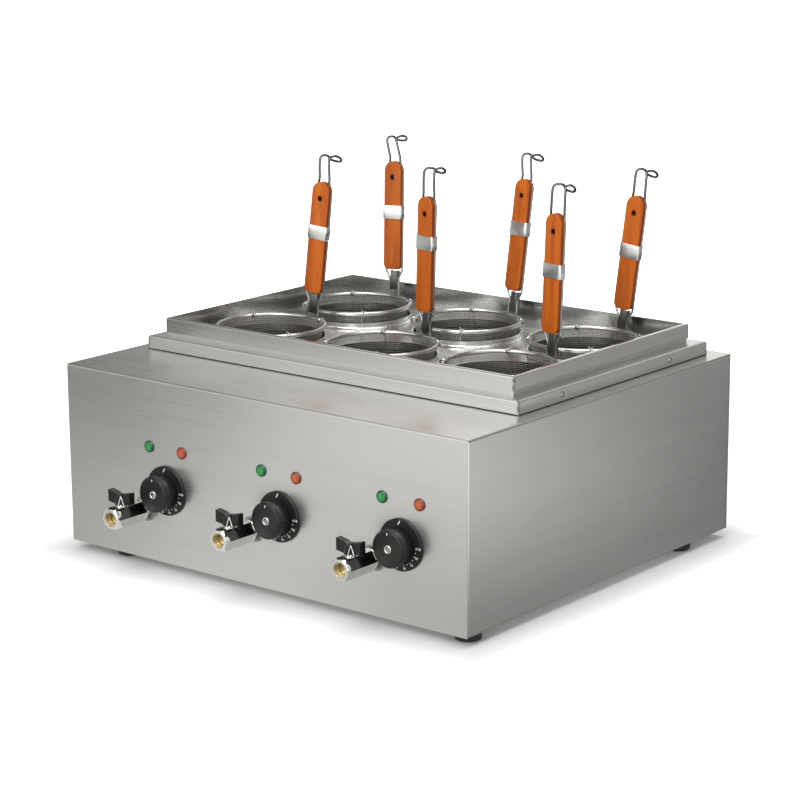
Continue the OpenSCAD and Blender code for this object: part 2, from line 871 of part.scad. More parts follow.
module right_valve_ball() {
  valve_ball(2);
}

module left_valve_handle() {
  valve_handle(0);
}

module middle_valve_handle() {
  valve_handle(1);
}

module right_valve_handle() {
  valve_handle(2);
}

// Terminal block on the base plate, beside the cable's entry
block_w = 70;
block_d = 24;
block_h = 22;
block_poles = 6;

module terminal_block() {
  color("ivory") translate([gland_x, rear_y - sheet - 1.2 * block_d, base_z + sheet]) difference() {
    block(block_w, block_d, block_h);
    for (i = [0:block_poles - 1])
      translate([(i - (block_poles - 1) / 2) * block_w / block_poles, 0, block_h - 6])
        cylinder(h = 6 + cut, r = 2.5);
  }
}

// Cable gland through the rear panel: a hexagonal flange, a dome nut and a shank
gland_af = 22;
gland_hex = 5;
gland_shank_l = 12;

module cable_gland() {
  color(black) translate([gland_x, rear_y, base_z + gland_z]) rotate([-90, 0, 0]) difference() {
    union() {
      hex_prism(gland_af, gland_hex);
      translate([0, 0, -gland_shank_l]) cylinder(h = gland_shank_l + gland_hex, r = gland_shank_r);
      cylinder(h = gland_reach, r = gland_shank_r);
    }
    translate([0, 0, -gland_shank_l - cut]) cylinder(h = gland_shank_l + gland_reach + 2 * cut, r = gland_r);
  }
}

// Places its children in a basket's own frame: origin at the hoop's centre, +y towards the handle
module in_basket(i) {
  translate([baskets[i].x, baskets[i].y, hoop_z]) rotate([0, 0, -basket_turn[i]]) children();
}

// Places its children in a handle's frame: origin beside the hoop, z along the leaning handle
module in_handle(i) {
  in_basket(i) translate([0, handle_r + foot_half * sin(handle_twist[i]), handle_lift[i]])
    rotate([0, handle_sway[i], 0]) rotate([-handle_lean[i], 0, 0]) rotate([0, 0, handle_twist[i]]) children();
}

// Woven cup, as a thin closed shell: a tapering wall and a floor with a rounded corner
module basket_cup(i) {
  color("darkgray") in_basket(i) rotate_extrude() difference() {
    cup_section(cup_top_r, cup_floor_r, 0, -cup_depth, cup_corner);
    cup_section(cup_top_r - mesh_t, cup_floor_r - mesh_t, cut, -cup_depth + mesh_t, cup_corner - mesh_t);
  }
}

// Half section of a filled cup
module cup_section(top_r, floor_r, top, bottom, r) {
  polygon(concat(
    [[0, top], [top_r, top]],
    [for (a = [0:-10:-90]) [floor_r - r + r * cos(a), bottom + r + r * sin(a)]],
    [[0, bottom]]
  ));
}

// Curve through the points, with a number of steps between each pair
function along(p, i) = p[min(max(i, 0), len(p) - 1)];
function curve_at(a, b, c, d, t) =
  b + (c - a) * t / 2 + (2 * a - 5 * b + 4 * c - d) * t * t / 2 + (3 * b - a - 3 * c + d) * t * t * t / 2;
function curve(p, steps) = concat(
  [for (i = [0:len(p) - 2]) for (k = [0:steps - 1])
    curve_at(along(p, i - 1), p[i], p[i + 1], along(p, i + 2), k / steps)],
  [p[len(p) - 1]]
);

// Directions along a path, and normals carried along it without twisting
function unit(v) = v / norm(v);
function headings(p) = [for (i = [0:len(p) - 1]) unit(along(p, i + 1) - along(p, i - 1))];
function carried(h, i, n) = let (m = unit(n - (n * h[i]) * h[i]))
  i + 1 < len(h) ? concat([m], carried(h, i + 1, m)) : [m];

// Round wire swept along a path of points
module wire(path, d, count) {
  h = headings(path);
  n = carried(h, 0, [0.31, 0.95, 0.05]);
  rings = len(path);
  points = [for (i = [0:rings - 1]) for (k = [0:count - 1])
    path[i] + d / 2 * (cos(360 * k / count) * n[i] + sin(360 * k / count) * cross(h[i], n[i]))];
  walls = [for (i = [0:rings - 2]) for (k = [0:count - 1])
    let (a = i * count + k, b = i * count + (k + 1) % count)
    each [[a, a + count, b + count], [a, b + count, b]]];
  ends = [for (k = [1:count - 2]) each [
    [0, k, k + 1],
    [(rings - 1) * count, (rings - 1) * count + k + 1, (rings - 1) * count + k]
  ]];
  polyhedron(points, concat(walls, ends));
}

// One side of the handle wire in the handle's frame, from its foot on the hoop to the tip of the eye
function eye_point(i, part, half) = let (top = grip_end + hook_rise, t = (1 - part) * 0.15 + part)
  [half, neck_back + part * (eye_reach[i] - neck_back), top - 1.5 - t * (eye_droop[i] - 1.5)];
function handle_half(i) = let (top = grip_end + hook_rise) [
  [foot_half, 0, -6], [foot_half, 0, 6], [foot_half, 0, grip_start - 12], [grip_half, 0, grip_start - 1],
  [grip_half, 0, grip_start + 10], [grip_half, 0, grip_end - 18], [grip_half, 0, grip_end - 5],
  [hook_half, 0, grip_end + 5], [hook_half - 0.3, 0, top - 14], [hook_half - 1, 1, top - 5],
  [hook_half - 3.5, 4.5, top - 1], eye_point(i, 0, neck_half), eye_point(i, 0.25, eye_half - 1.5),
  eye_point(i, 0.6, eye_half), eye_point(i, 0.9, eye_half - 2), eye_point(i, 1, 0)
];

function flipped(p) = [for (i = [len(p) - 2:-1:0]) [-p[i].x, p[i].y, p[i].z]];
function leaning(p, i) = [for (q = p)
  q + [hook_lean[i] * max(0, min(1, (q.z - grip_end - 5) / (hook_rise - 10))), 0, 0]];

// Tie wire under a cup: down the wall on one side, across the floor and up the other side
function tie_half(drop) =
  let (r = tie_d / 2 + tie_gap, q = (cup_corner + r) / cos(tie_step / 2), f = cup_floor_r - cup_corner) concat(
    [[cup_top_r + r, 0, -hoop_rod / 2 - r]],
    [for (a = [tie_step / 2:tie_step:90]) [f + q * cos(a), 0, -cup_depth + cup_corner - q * sin(a) - drop * a / 90]],
    [[0, 0, -cup_depth - r - drop]]
  );

// Welded frame: hoop, two crossing tie wires, handle wire with its eye, and the folded bracket
module basket_frame(i) {
  color(bright) {
    in_basket(i) {
      rotate_extrude() translate([hoop_r, 0]) circle(hoop_rod / 2);
      for (k = [0, 1]) rotate([0, 0, 45 + 90 * k])
        wire(concat(tie_half(k * tie_d), flipped(tie_half(k * tie_d))), tie_d, tie_sides);
    }
    in_handle(i) {
      wire(leaning(concat(curve(handle_half(i), 2), flipped(curve(handle_half(i), 2))), i), wire_d, wire_sides);
      bracket();
    }
  }
}

// Folded sheet between the wires, from the hoop to just below the grip
module bracket() {
  w = 2 * foot_half - wire_d - 2 * hole_play;
  h = bracket_z[1] - bracket_z[0];
  translate([0, 0, bracket_z[0]]) difference() {
    translate([0, bracket_depth / 2 - wire_d / 2, 0]) block(w, bracket_depth, h);
    translate([0, bracket_depth / 2 - wire_d / 2 + bracket_t, -cut])
      block(w - 2 * bracket_t, bracket_depth, h + 2 * cut);
  }
}

// Wooden grip with a round top, narrowed lower end, hanging hole and a groove for the wire along each edge
module basket_grip(i) {
  groove_r = wire_d / 2 + groove_play;
  color(wood) in_handle(i) translate([0, -groove_back, 0]) difference() {
    intersection() {
      rotate([90, 0, 0]) linear_extrude(grip_t, center = true) grip_outline();
      translate([0, 0, grip_start - cut]) round_block(grip_w, grip_t, grip_l + 2 * cut, 2);
    }
    for (s = [-1, 1])
      translate([s * grip_half, groove_back, grip_start - cut]) cylinder(h = grip_l + 2 * cut, r = groove_r);
    translate([0, 0, grip_end - grip_hole_drop]) rotate([90, 0, 0])
      cylinder(h = grip_t + 2 * cut, r = grip_hole_r, center = true);
  }
}

// Face of the grip: a half-round top, straight sides and a lower end with rounded corners
module grip_outline() {
  r = grip_w / 2;
  corner = 6;
  translate([-r, grip_start + corner]) square([grip_w, grip_l - corner - r]);
  translate([0, grip_end - r]) circle(r);
  translate([-r + corner, grip_start]) square([grip_w - 2 * corner, 2 * corner]);
  for (s = [-1, 1]) translate([s * (r - corner), grip_start + corner]) circle(corner);
}

// Steel band wrapped round the grip and its wires
module basket_band(i) {
  inner_w = 2 * (grip_half + wire_d / 2 + hole_play);
  inner_t = grip_t + 2 * hole_play;
  color(bright) in_handle(i) translate([0, -groove_back, grip_start + band_start + band_shift[i]])
    linear_extrude(band_h) difference() {
      round_rect(inner_w + 2 * band_t, inner_t + 2 * band_t, 2 + band_t);
      round_rect(inner_w, inner_t, 2);
    }
}

front_top_panel();
left_side_panel();
right_side_panel();
rear_panel();
base_plate();
tank_collar();
casing_screws();
feet();
basket_tray();
tank_grids();
heating_elements();
thermostats();
dial_plates();
green_lamps();
orange_lamps();
drain_pipes();
valve_bodies();
valve_seats();
valve_locknuts();
terminal_block();
cable_gland();
left_tank();
middle_tank();
right_tank();
left_knob();
middle_knob();
right_knob();
left_thermostat_shaft();
middle_thermostat_shaft();
right_thermostat_shaft();
left_valve_handle();
middle_valve_handle();
right_valve_handle();
left_valve_ball();
middle_valve_ball();
right_valve_ball();
for (i = [0:5]) {
  basket_cup(i);
  basket_frame(i);
  basket_grip(i);
  basket_band(i);
}
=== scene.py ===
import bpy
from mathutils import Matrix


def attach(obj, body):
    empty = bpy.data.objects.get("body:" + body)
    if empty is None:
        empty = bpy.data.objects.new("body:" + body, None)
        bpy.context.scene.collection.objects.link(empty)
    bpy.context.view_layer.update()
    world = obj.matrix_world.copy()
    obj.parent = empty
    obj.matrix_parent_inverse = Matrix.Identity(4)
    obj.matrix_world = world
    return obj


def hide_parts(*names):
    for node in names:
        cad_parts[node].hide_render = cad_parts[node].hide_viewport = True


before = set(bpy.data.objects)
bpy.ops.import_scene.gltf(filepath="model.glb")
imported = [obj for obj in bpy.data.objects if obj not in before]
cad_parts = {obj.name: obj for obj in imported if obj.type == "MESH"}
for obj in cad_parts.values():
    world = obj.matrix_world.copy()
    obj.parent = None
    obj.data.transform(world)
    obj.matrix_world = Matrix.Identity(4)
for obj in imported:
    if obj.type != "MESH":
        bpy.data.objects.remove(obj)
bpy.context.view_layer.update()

import math

import bpy
import numpy as np
from mathutils import Matrix, Vector

# Lengths are in millimetres and angles in degrees, except in shaders, lamps and the camera, which are in
# metres. Lists run from basket 1 to basket 6.

MM = 0.001
TURN = 2 * math.pi
ACROSS, UP = np.array([1.0, 0, 0]), np.array([0, 0, 1.0])
WHITE = (1.0, 1.0, 1.0, 1.0)

# casing, collar and tray, each as half its width and half its depth
CASING_HALF, CASING_Y = (315.0, 275.0), 22.0
COLLAR_HALF, TRAY_HALF, TANKS_Y = (294.0, 201.0), (276.0, 185.5), 72.0
FRONT_Y = CASING_Y - CASING_HALF[1]
COLUMNS = {"left": -184.0, "middle": 0.0, "right": 184.0}

# baskets
BASKETS = [(-184, -16), (0, -16), (184, -16), (-184, 160), (0, 160), (184, 160)]
BASKET_TURN = [5, 10, 19, 1, 15, 5]
HOOP_Z, HOOP_R, ROD_R = 267.0, 69.75, 2.75
CUP_TOP_R, CUP_FLOOR_R, CUP_CORNER_R, CUP_WALL = 66.3, 46.0, 13.6, 151.0
TIE_START = [64, 45, 45, 45, 45, 45]

# handles
HANDLE_R, FOOT_HALF, WIRE_R = 74.1, 7.5, 1.5
HANDLE_LEAN = [3, 1, 1, 4.5, 7.5, 2]
HANDLE_SWAY = [5, 1, 2, -2.5, 0, 6.5]
HANDLE_TWIST = [11, 2, 11, 8, 7, 3]
HANDLE_LIFT = [2, 0, -1, 5, 0, -2.5]
HOOK_LEAN = [-3, -1, 0, -6.7, -5.4, -1.3]
HOOK_HALF = [7.8, 9.7, 11.0, 8.0, 8.1, 8.8]
HOOK_DROP = [0, -1.4, -1.0, 0.5, 0.7, 0.4]
EYE_REACH = [37, 27, 27, 37, 31, 34]
EYE_DROOP = [11, 8, 11.4, 6.4, 8.5, 12.6]
GRIP_START, GRIP_END, GRIP_Y = 31.0, 178.0, -2.2
BAND_START = 69.0
BAND_SHIFT = [2.5, 10.5, -1, 0, 4, -2]

# controls
VALVES = {"left": (-184.0, 76.5), "middle": (-5.0, 82.5), "right": (181.0, 82.5)}
STEM_OUT = 41.5
KNOB_DX, KNOB_Z, KNOB_OUT = 37.5, 105.5, 26.5
DISH_R, DISH_DEPTH = 100.0, 2.0
DIAL_T = 4.0
LAMP_Z, GREEN_DX, ORANGE_DX, LENS_R = 157.0, 9.5, 64.0, 7.5


# ---------------------------------------------------------------- finishes

def paint(red, green, blue):
    """Colour given as the 0 to 255 numbers a screen shows, turned into light amounts."""
    part = np.array([red, green, blue]) / 255.0
    return (*np.where(part <= 0.04045, part / 12.92, ((part + 0.055) / 1.055) ** 2.4), 1.0)


class Value:
    """An output of a node. Sums, products and so on of it become Math nodes."""

    def __init__(self, finish, socket):
        self.finish, self.socket = finish, socket

    def _math(self, operation, first, second=0.0):
        return self.finish.node("ShaderNodeMath", {"operation": operation}, {0: first, 1: second})

    def __add__(self, other):
        return self._math("ADD", self, other)

    __radd__ = __add__

    def __mul__(self, other):
        return self._math("MULTIPLY", self, other)

    __rmul__ = __mul__

    def __sub__(self, other):
        return self._math("SUBTRACT", self, other)

    def __rsub__(self, other):
        return self._math("SUBTRACT", other, self)

    def __pow__(self, other):
        return self._math("POWER", self, other)

    def __rpow__(self, other):
        return self._math("POWER", other, self)

    def __neg__(self):
        return self * -1.0

    def __abs__(self):
        return self._math("ABSOLUTE", self)

    def most(self, other):
        return self._math("MAXIMUM", self, other)

    def between(self, low, high):
        """0 at low, 1 at high, an S-shaped rise in between and level outside."""
        return self.finish.node(
            "ShaderNodeMapRange", {"interpolation_type": "SMOOTHSTEP"},
            {0: self, 1: low, 2: high, 3: 0.0, 4: 1.0},
        )


class Finish:
    """The node tree of a material or of the world, and the few ways in which nodes are put in it."""

    def __init__(self, name, owner=None):
        self.owner = owner or bpy.data.materials.new(name)
        self.owner.use_nodes = True
        self.tree = self.owner.node_tree
        self.shader = self.tree.nodes.get("Principled BSDF")

    def node(self, kind, settings=None, sockets=None, output=0):
        """A node of any type: first its settings, then its sockets' values or links. Gives one output."""
        made = self.tree.nodes.new(kind)
        for key, value in (settings or {}).items():
            setattr(made, key, value)
        for key, value in (sockets or {}).items():
            self.join(made.inputs[key], value)
        return Value(self, made.outputs[output])

    def join(self, socket, value):
        """A link to a socket, or a plain number or colour set on it."""
        if isinstance(value, Value):
            self.tree.links.new(value.socket, socket)
        else:
            socket.default_value = value

    def place(self, kind="Object"):
        return self.node("ShaderNodeTexCoord", output=kind)

    def axes(self, kind="Object"):
        """The three coordinates: metres on an object, and Generated in the world, where it is a heading."""
        made = self.node("ShaderNodeSeparateXYZ", sockets={0: self.place(kind)}).socket.node
        return [Value(self, socket) for socket in made.outputs]

    def noise(self, scale, detail=2.0, rough=0.5, bend=0.0):
        """Cloudy noise between 0 and 1. A scale with three numbers draws it out along an axis."""
        scale = scale if isinstance(scale, tuple) else (scale,) * 3
        where = self.node("ShaderNodeMapping", sockets={"Vector": self.place(), "Scale": scale})
        return self.node("ShaderNodeTexNoise", sockets={
            "Vector": where, "Scale": 1.0, "Detail": detail, "Roughness": rough, "Distortion": bend,
        })

    def mark(self, name):
        """A number that the piece carries on its own points."""
        return self.node("ShaderNodeAttribute", {"attribute_name": name}, output="Fac")

    def ray(self, kind):
        """1 for rays of one kind, such as those of the camera, and 0 for others."""
        return self.node("ShaderNodeLightPath", output=kind)

    def mix(self, share, first, second):
        settings = {"data_type": "RGBA", "clamp_factor": True}
        return self.node("ShaderNodeMix", settings, {0: share, 6: first, 7: second}, output=2)

    def tinted(self, level, tint):
        """A grey level as a colour, with its own share of red, green and blue."""
        parts = {k: level * share for k, share in enumerate(tint)}
        return self.node("ShaderNodeCombineColor", sockets=parts)

    def bump(self, height, depth, strength):
        sockets = {"Height": height, "Distance": depth, "Strength": strength}
        return self.node("ShaderNodeBump", sockets=sockets)

    def set(self, **sockets):
        """Principled sockets by name, with _ for a space."""
        for key, value in sockets.items():
            self.join(self.shader.inputs[key.replace("_", " ")], value)

    def end(self, output, shader):
        """The last shader, put on the tree's output."""
        self.join(self.tree.nodes[output].inputs["Surface"], shader)


BRUSHED_ALONG = {"x": (4.0, 700.0, 700.0), "y": (700.0, 4.0, 700.0), "level": (4.0, 4.0, 700.0)}
SHEET_TINT = (1.004, 1.0, 0.975)
DRAWN_TINT = (1.0, 0.995, 0.97)
CLOTH_TINT = (1.0, 0.985, 0.93)
BLACK_TINT = (1.0, 1.03, 1.04)


def brushed_steel(name, along, light, rough, corner=None):
    """Satin stainless sheet: hair-fine scratches drawn out one way, wider streaks, and faint rubbed clouds.
    A corner, as half the width and half the depth of a box round the tanks' middle, makes the sheet darker
    in mottled patches down each upright edge there."""
    streak_width, least_scale, hair_depth = 14.0, 1.3, 0.00004
    dark_starts, dark_full = 3.5, 1.5
    f = Finish(name)
    fine = BRUSHED_ALONG[along]
    hairs = f.noise(fine)
    wide = tuple(max(scale / streak_width, least_scale) for scale in fine)
    streaks = f.noise(wide, detail=3.0, rough=0.6)
    rubbed = f.noise(9.0, detail=3.0, bend=0.4)
    level = light * (0.93 + 0.07 * hairs + 0.08 * (streaks - 0.5) + 0.05 * (rubbed - 0.5))
    if corner:
        x, y, _ = f.axes()
        near_x, near_y = [
            abs(out).between((half - dark_starts) * MM, (half - dark_full) * MM)
            for out, half in zip((x, y - TANKS_Y * MM), corner)
        ]
        stain = f.noise(240.0)
        # Darker in mottled patches down each upright corner edge.
        level = level * (1.0 - 0.6 * near_x * near_y * stain.between(0.3, 0.6))
    f.set(
        Base_Color=f.tinted(level, SHEET_TINT),
        Metallic=1.0,
        Roughness=rough + 0.12 * (hairs - 0.5) + 0.07 * (rubbed - 0.5),
        Normal=f.bump(hairs, hair_depth, 0.35),
    )
    return f.owner


def polished_steel(name, light, rough, grain=260.0):
    """Drawn wire, rod or strip: bright, with fine die lines and dull spots."""
    spot_depth = 0.00006
    f = Finish(name)
    spots = f.noise(grain, detail=3.0)
    dull = f.noise(40.0)
    level = light * (0.86 + 0.2 * spots) * (0.9 + 0.2 * dull)
    f.set(
        Base_Color=f.tinted(level, DRAWN_TINT),
        Metallic=1.0,
        Roughness=rough + 0.16 * (dull - 0.4),
        Normal=f.bump(spots, spot_depth, 0.3),
    )
    return f.owner


def handle_steel(name):
    """Drawn handle wire: brightest at its feet, greyer beside the grip and darker still above it."""
    f = Finish(name)
    darkening = f.mark("darkening")
    spots = f.noise(260.0, detail=3.0)
    # Darker beside the grip and darker still above it.
    level = (0.58 - 0.46 * darkening) * (0.86 + 0.26 * spots)
    f.set(
        Base_Color=f.tinted(level, DRAWN_TINT),
        Metallic=1.0,
        Roughness=0.16 + 0.1 * darkening + 0.1 * spots,
    )
    return f.owner


def wire_cloth(name):
    """Woven wire, kept dark overall as painted shade inside the basket. Each strand has a painted highlight
    on its side facing out of the wall, or up on the floor, and painted shade round its other sides, as in the
    hollows of the weave.
    """
    f = Finish(name)
    over = f.mark("over")
    spots = f.noise(420.0)
    # over: painted highlight on each strand's outward side and painted shade round the rest; the low grey
    # overall is painted shade inside the basket.
    level = (0.22 + 0.3 * over) * (0.8 + 0.4 * spots)
    f.set(Base_Color=f.tinted(level, CLOTH_TINT), Metallic=1.0, Roughness=0.3 + 0.12 * spots)
    return f.owner


def varnished_wood(name):
    """Orange-brown hardwood: long grain, short pores, a few darker bands, and painted shade that darkens its
    rounded edges and sides and turns its hole nearly black.
    """
    light, dark, line = paint(182, 92, 17), paint(156, 73, 13), paint(128, 56, 14)
    pit, painted_edge_shade, painted_hole_shade = paint(94, 40, 12), paint(98, 44, 14), paint(52, 12, 4)
    grain_depth = 0.00012
    f = Finish(name)
    edge = f.mark("edge")
    hole_shade = f.mark("hole")
    grain = f.noise((420.0, 420.0, 9.0), detail=4.0, rough=0.62, bend=0.5)
    bands = f.noise((70.0, 70.0, 5.0), bend=0.6)
    pores = f.noise((1500.0, 1500.0, 55.0), detail=1.0)
    body = f.mix(bands.between(0.32, 0.7), light, dark)
    body = f.mix(grain.between(0.5, 0.78) * 0.5, body, line)
    body = f.mix(pores.between(0.66, 0.8) * 0.4, body, pit)
    # painted shade: the rounded edges and sides of the grip darker brown
    body = f.mix(edge * 0.75, body, painted_edge_shade)
    # painted shade: the walls of the hole nearly black
    body = f.mix(hole_shade * 0.93, body, painted_hole_shade)
    f.set(
        Base_Color=body,
        Roughness=0.34 + 0.16 * grain + 0.2 * hole_shade,
        Coat_Weight=0.06 * (1.0 - hole_shade),
        Coat_Roughness=0.18,
        Specular_IOR_Level=0.2,
        Normal=f.bump(grain + 0.6 * pores, grain_depth, 0.35),
    )
    return f.owner


def moulded_black(name, light, rough, grain=1600.0):
    """Satin black plastic or rubber with a fine spark-eroded grain and a little wear."""
    grain_depth = 0.00005
    f = Finish(name)
    pebble = f.noise(grain)
    worn = f.noise(60.0, detail=3.0)
    level = light * (0.7 + 0.5 * pebble + 0.3 * worn)
    f.set(
        Base_Color=f.tinted(level, BLACK_TINT),
        Roughness=rough + 0.14 * (worn - 0.5),
        Specular_IOR_Level=0.3,
        Normal=f.bump(pebble, grain_depth, 0.35),
    )
    return f.owner


def lens_plastic(name, deep, bright):
    """Coloured lens: painted light in the middle and painted shade deepening the colour at the rim, with a
    mottled pattern of prisms, and a faint painted glow.
    """
    f = Finish(name)
    rim = f.mark("rim")
    prisms = f.noise(700.0, detail=1.0)
    # painted light in the middle of the lens, painted shade towards its rim
    share = (1.0 - rim.between(0.35, 0.95)) * (0.55 + 0.6 * prisms)
    colour = f.mix(share, deep, bright)
    f.set(
        Base_Color=colour,
        Roughness=0.2 + 0.1 * prisms,
        Coat_Weight=0.25 - 0.1 * rim,
        # faint painted glow
        Emission_Color=colour,
        Emission_Strength=0.06,
    )
    return f.owner


def plain_plastic(name, colour, rough=0.5):
    """Moulded plastic or print of one hue with slight flow marks."""
    f = Finish(name)
    flow = f.noise(45.0, detail=3.0)
    dark = tuple(c * 0.86 for c in colour[:3]) + (1.0,)
    f.set(Base_Color=f.mix(flow, dark, colour), Roughness=rough + 0.12 * (flow - 0.5))
    return f.owner


def turned_brass(name):
    """Cut brass thread, paler on the crests and browner in the roots."""
    root, bright = (0.30, 0.20, 0.07, 1.0), (0.86, 0.76, 0.50, 1.0)
    f = Finish(name)
    crest = f.mark("crest")
    stain = f.noise(300.0, detail=3.0)
    colour = f.mix(crest * 0.7 + 0.3 * stain, root, bright)
    f.set(Base_Color=colour, Metallic=1.0, Roughness=0.22 + 0.2 * stain)
    return f.owner


CASING = brushed_steel("brushed_casing_sheet", "x", 0.64, 0.3)
SIDE = brushed_steel("brushed_side_sheet", "y", 0.64, 0.3)
RIM = brushed_steel("brushed_collar_sheet", "level", 0.64, 0.3, COLLAR_HALF)
TRAY = brushed_steel("brushed_tray_sheet", "level", 0.62, 0.22, TRAY_HALF)
# Tank sheet at a very dark grey: painted shade for the insides of the covered tanks, also put on the drain
# pipes and thermostats.
SHADED_TANK = brushed_steel("tank_sheet_dark_as_shade", "level", 0.08, 0.5)
ROD = polished_steel("polished_hoop_rod", 0.46, 0.2)
WIRE = polished_steel("bright_tie_wire", 0.5, 0.18)
HANDLE = handle_steel("handle_wire_steel")
PLATE = polished_steel("zinc_bracket_plate", 0.15, 0.3)
STRIP = polished_steel("polished_band_strip", 0.7, 0.18, grain=90.0)
CHROME = polished_steel("chrome_plating", 0.8, 0.06, grain=120.0)
BOLT = polished_steel("zinc_screw", 0.32, 0.26)
SHEATH = polished_steel("dull_heater_sheath", 0.22, 0.42)
CLOTH = wire_cloth("woven_wire_cloth")
WOOD = varnished_wood("varnished_wood")
KNOB = moulded_black("satin_black_knob", 0.009, 0.36)
DIAL = moulded_black("satin_black_dial", 0.007, 0.45)
WING = moulded_black("satin_black_lever", 0.006, 0.34)
RUBBER = moulded_black("black_foot_rubber", 0.018, 0.7, grain=900.0)
GREEN = lens_plastic("green_lens_plastic", paint(4, 62, 26), paint(24, 134, 64))
ORANGE = lens_plastic("orange_lens_plastic", paint(96, 36, 12), paint(172, 78, 32))
PRINT = plain_plastic("white_scale_print", (0.82, 0.83, 0.82, 1.0))
IVORY = plain_plastic("ivory_terminal_plastic", (0.72, 0.66, 0.5, 1.0))
SEAT = plain_plastic("white_seat_plastic", (0.8, 0.8, 0.78, 1.0), 0.35)
BRASS = turned_brass("turned_brass")

CAD_FINISH = {
    CASING: ["front_top_panel", "base_plate", "rear_panel"],
    SIDE: ["left_side_panel", "right_side_panel"],
    RIM: ["tank_collar"],
    TRAY: ["basket_tray"],
    SHADED_TANK: ["left_tank", "middle_tank", "right_tank", "drain_pipes", "thermostats"],
    BOLT: ["casing_screws", "valve_locknuts"] + [f"{s}_thermostat_shaft" for s in COLUMNS],
    WIRE: ["tank_grids"],
    SHEATH: ["heating_elements"],
    RUBBER: ["feet", "cable_gland"],
    DIAL: ["dial_plates"],
    CHROME: ["valve_bodies"] + [f"{s}_valve_ball" for s in COLUMNS],
    SEAT: ["valve_seats"],
    IVORY: ["terminal_block"],
    WING: [f"{s}_valve_handle" for s in COLUMNS],
}
for material, names in CAD_FINISH.items():
    for name in names:
        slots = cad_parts[name].data.materials
        slots.clear()
        slots.append(material)


# ---------------------------------------------------------------- shapes

def around(count):
    """Even steps round a full turn, in radians."""
    return np.arange(count) * (TURN / count)


def fan(hub, start, end):
    """Three-sided faces from a middle point to each step of a ring."""
    return np.stack([np.broadcast_to(hub, start.shape), start, end], -1).reshape(-1, 3)


class Surface:
    """Points on one or many grids, last axes (row, column, xyz). The columns close into rings. The rows close
    too, or the first and last ring are shut at their ends, or neither."""

    def __init__(self, points, rows_close=False, ends=True, marks=None):
        points = np.asarray(points, float)
        self.points = points.reshape((-1,) + points.shape[-3:])
        self.rows_close, self.ends = rows_close, ends and not rows_close
        self.marks = {
            key: np.broadcast_to(values, points.shape[:-1]).reshape(self.points.shape[:-1])
            for key, values in (marks or {}).items()
        }

    def moved(self, move):
        return Surface(move(self.points), self.rows_close, self.ends, self.marks)

    def faces(self):
        """Points, four-sided and three-sided faces, and marks. Ends are closed with a fan to a middle point.
        The sign of the volume inside tells whether the faces have to be turned round."""
        grids, rows, columns = self.points.shape[:3]
        index = np.arange(grids * rows * columns).reshape(grids, rows, columns)
        full = np.concatenate([index, index[:, :1]], 1) if self.rows_close else index
        full = np.concatenate([full, full[:, :, :1]], 2)
        around_face = [full[:, :-1, :-1], full[:, :-1, 1:], full[:, 1:, 1:], full[:, 1:, :-1]]
        quads = np.stack(around_face, -1).reshape(-1, 4)
        points = self.points.reshape(-1, 3)
        marks = {key: values.reshape(-1) for key, values in self.marks.items()}
        fans = np.zeros((0, 3), int)
        if self.ends:
            hub = (len(points) + np.arange(2 * grids)).reshape(grids, 2, 1)
            first, last = full[:, 0], full[:, -1]
            fans = np.concatenate([
                fan(hub[:, 0], first[:, 1:], first[:, :-1]), fan(hub[:, 1], last[:, :-1], last[:, 1:]),
            ])
            for key, values in self.marks.items():
                marks[key] = np.concatenate([marks[key], values[:, [0, -1]].mean(2).reshape(-1)])
            points = np.concatenate([points, self.points[:, [0, -1]].mean(2).reshape(-1, 3)])
        thirds = np.concatenate([quads[:, [0, 1, 2]], quads[:, [0, 2, 3]], fans])
        corners = points[thirds] - points.mean(0)
        if np.einsum("ij,ij->", corners[:, 0], np.cross(corners[:, 1], corners[:, 2])) < 0:
            quads, fans = quads[:, ::-1], fans[:, ::-1]
        return points, quads, fans, marks


def shown(name, data):
    """A new object that holds a mesh, text, lamp or camera, put in the scene."""
    made = bpy.data.objects.new(name, data)
    bpy.context.scene.collection.objects.link(made)
    return made


def piece(name, body, material, surfaces, stands_for=None, crease=38.0):
    """One mesh from surfaces in the part's frame, welded where points meet, riding on a body."""
    points, quads, fans, marks, count = [], [], [], {}, 0
    for surface in surfaces:
        p, q, t, m = surface.faces()
        points.append(p)
        quads.append(q + count)
        fans.append(t + count)
        for key, values in m.items():
            marks.setdefault(key, []).append(values)
        count += len(p)
    points = np.concatenate(points)
    _, first, same = np.unique(np.round(points, 5), axis=0, return_index=True, return_inverse=True)
    same = same.reshape(-1)
    mesh = bpy.data.meshes.new(name)
    faces = same[np.concatenate(quads)].tolist() + same[np.concatenate(fans)].tolist()
    mesh.from_pydata((points[first] * MM).tolist(), [], faces)
    for key, values in marks.items():
        layer = mesh.attributes.new(key, "FLOAT", "POINT")
        layer.data.foreach_set("value", np.concatenate(values)[first].astype(np.float32))
    mesh.polygons.foreach_set("use_smooth", np.ones(len(mesh.polygons), bool))
    mesh.set_sharp_from_angle(angle=math.radians(crease))
    mesh.materials.append(material)
    made = shown(name, mesh)
    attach(made, body)
    if stands_for:
        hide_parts(stands_for)


def unit(vectors):
    return vectors / np.linalg.norm(vectors, axis=-1, keepdims=True)


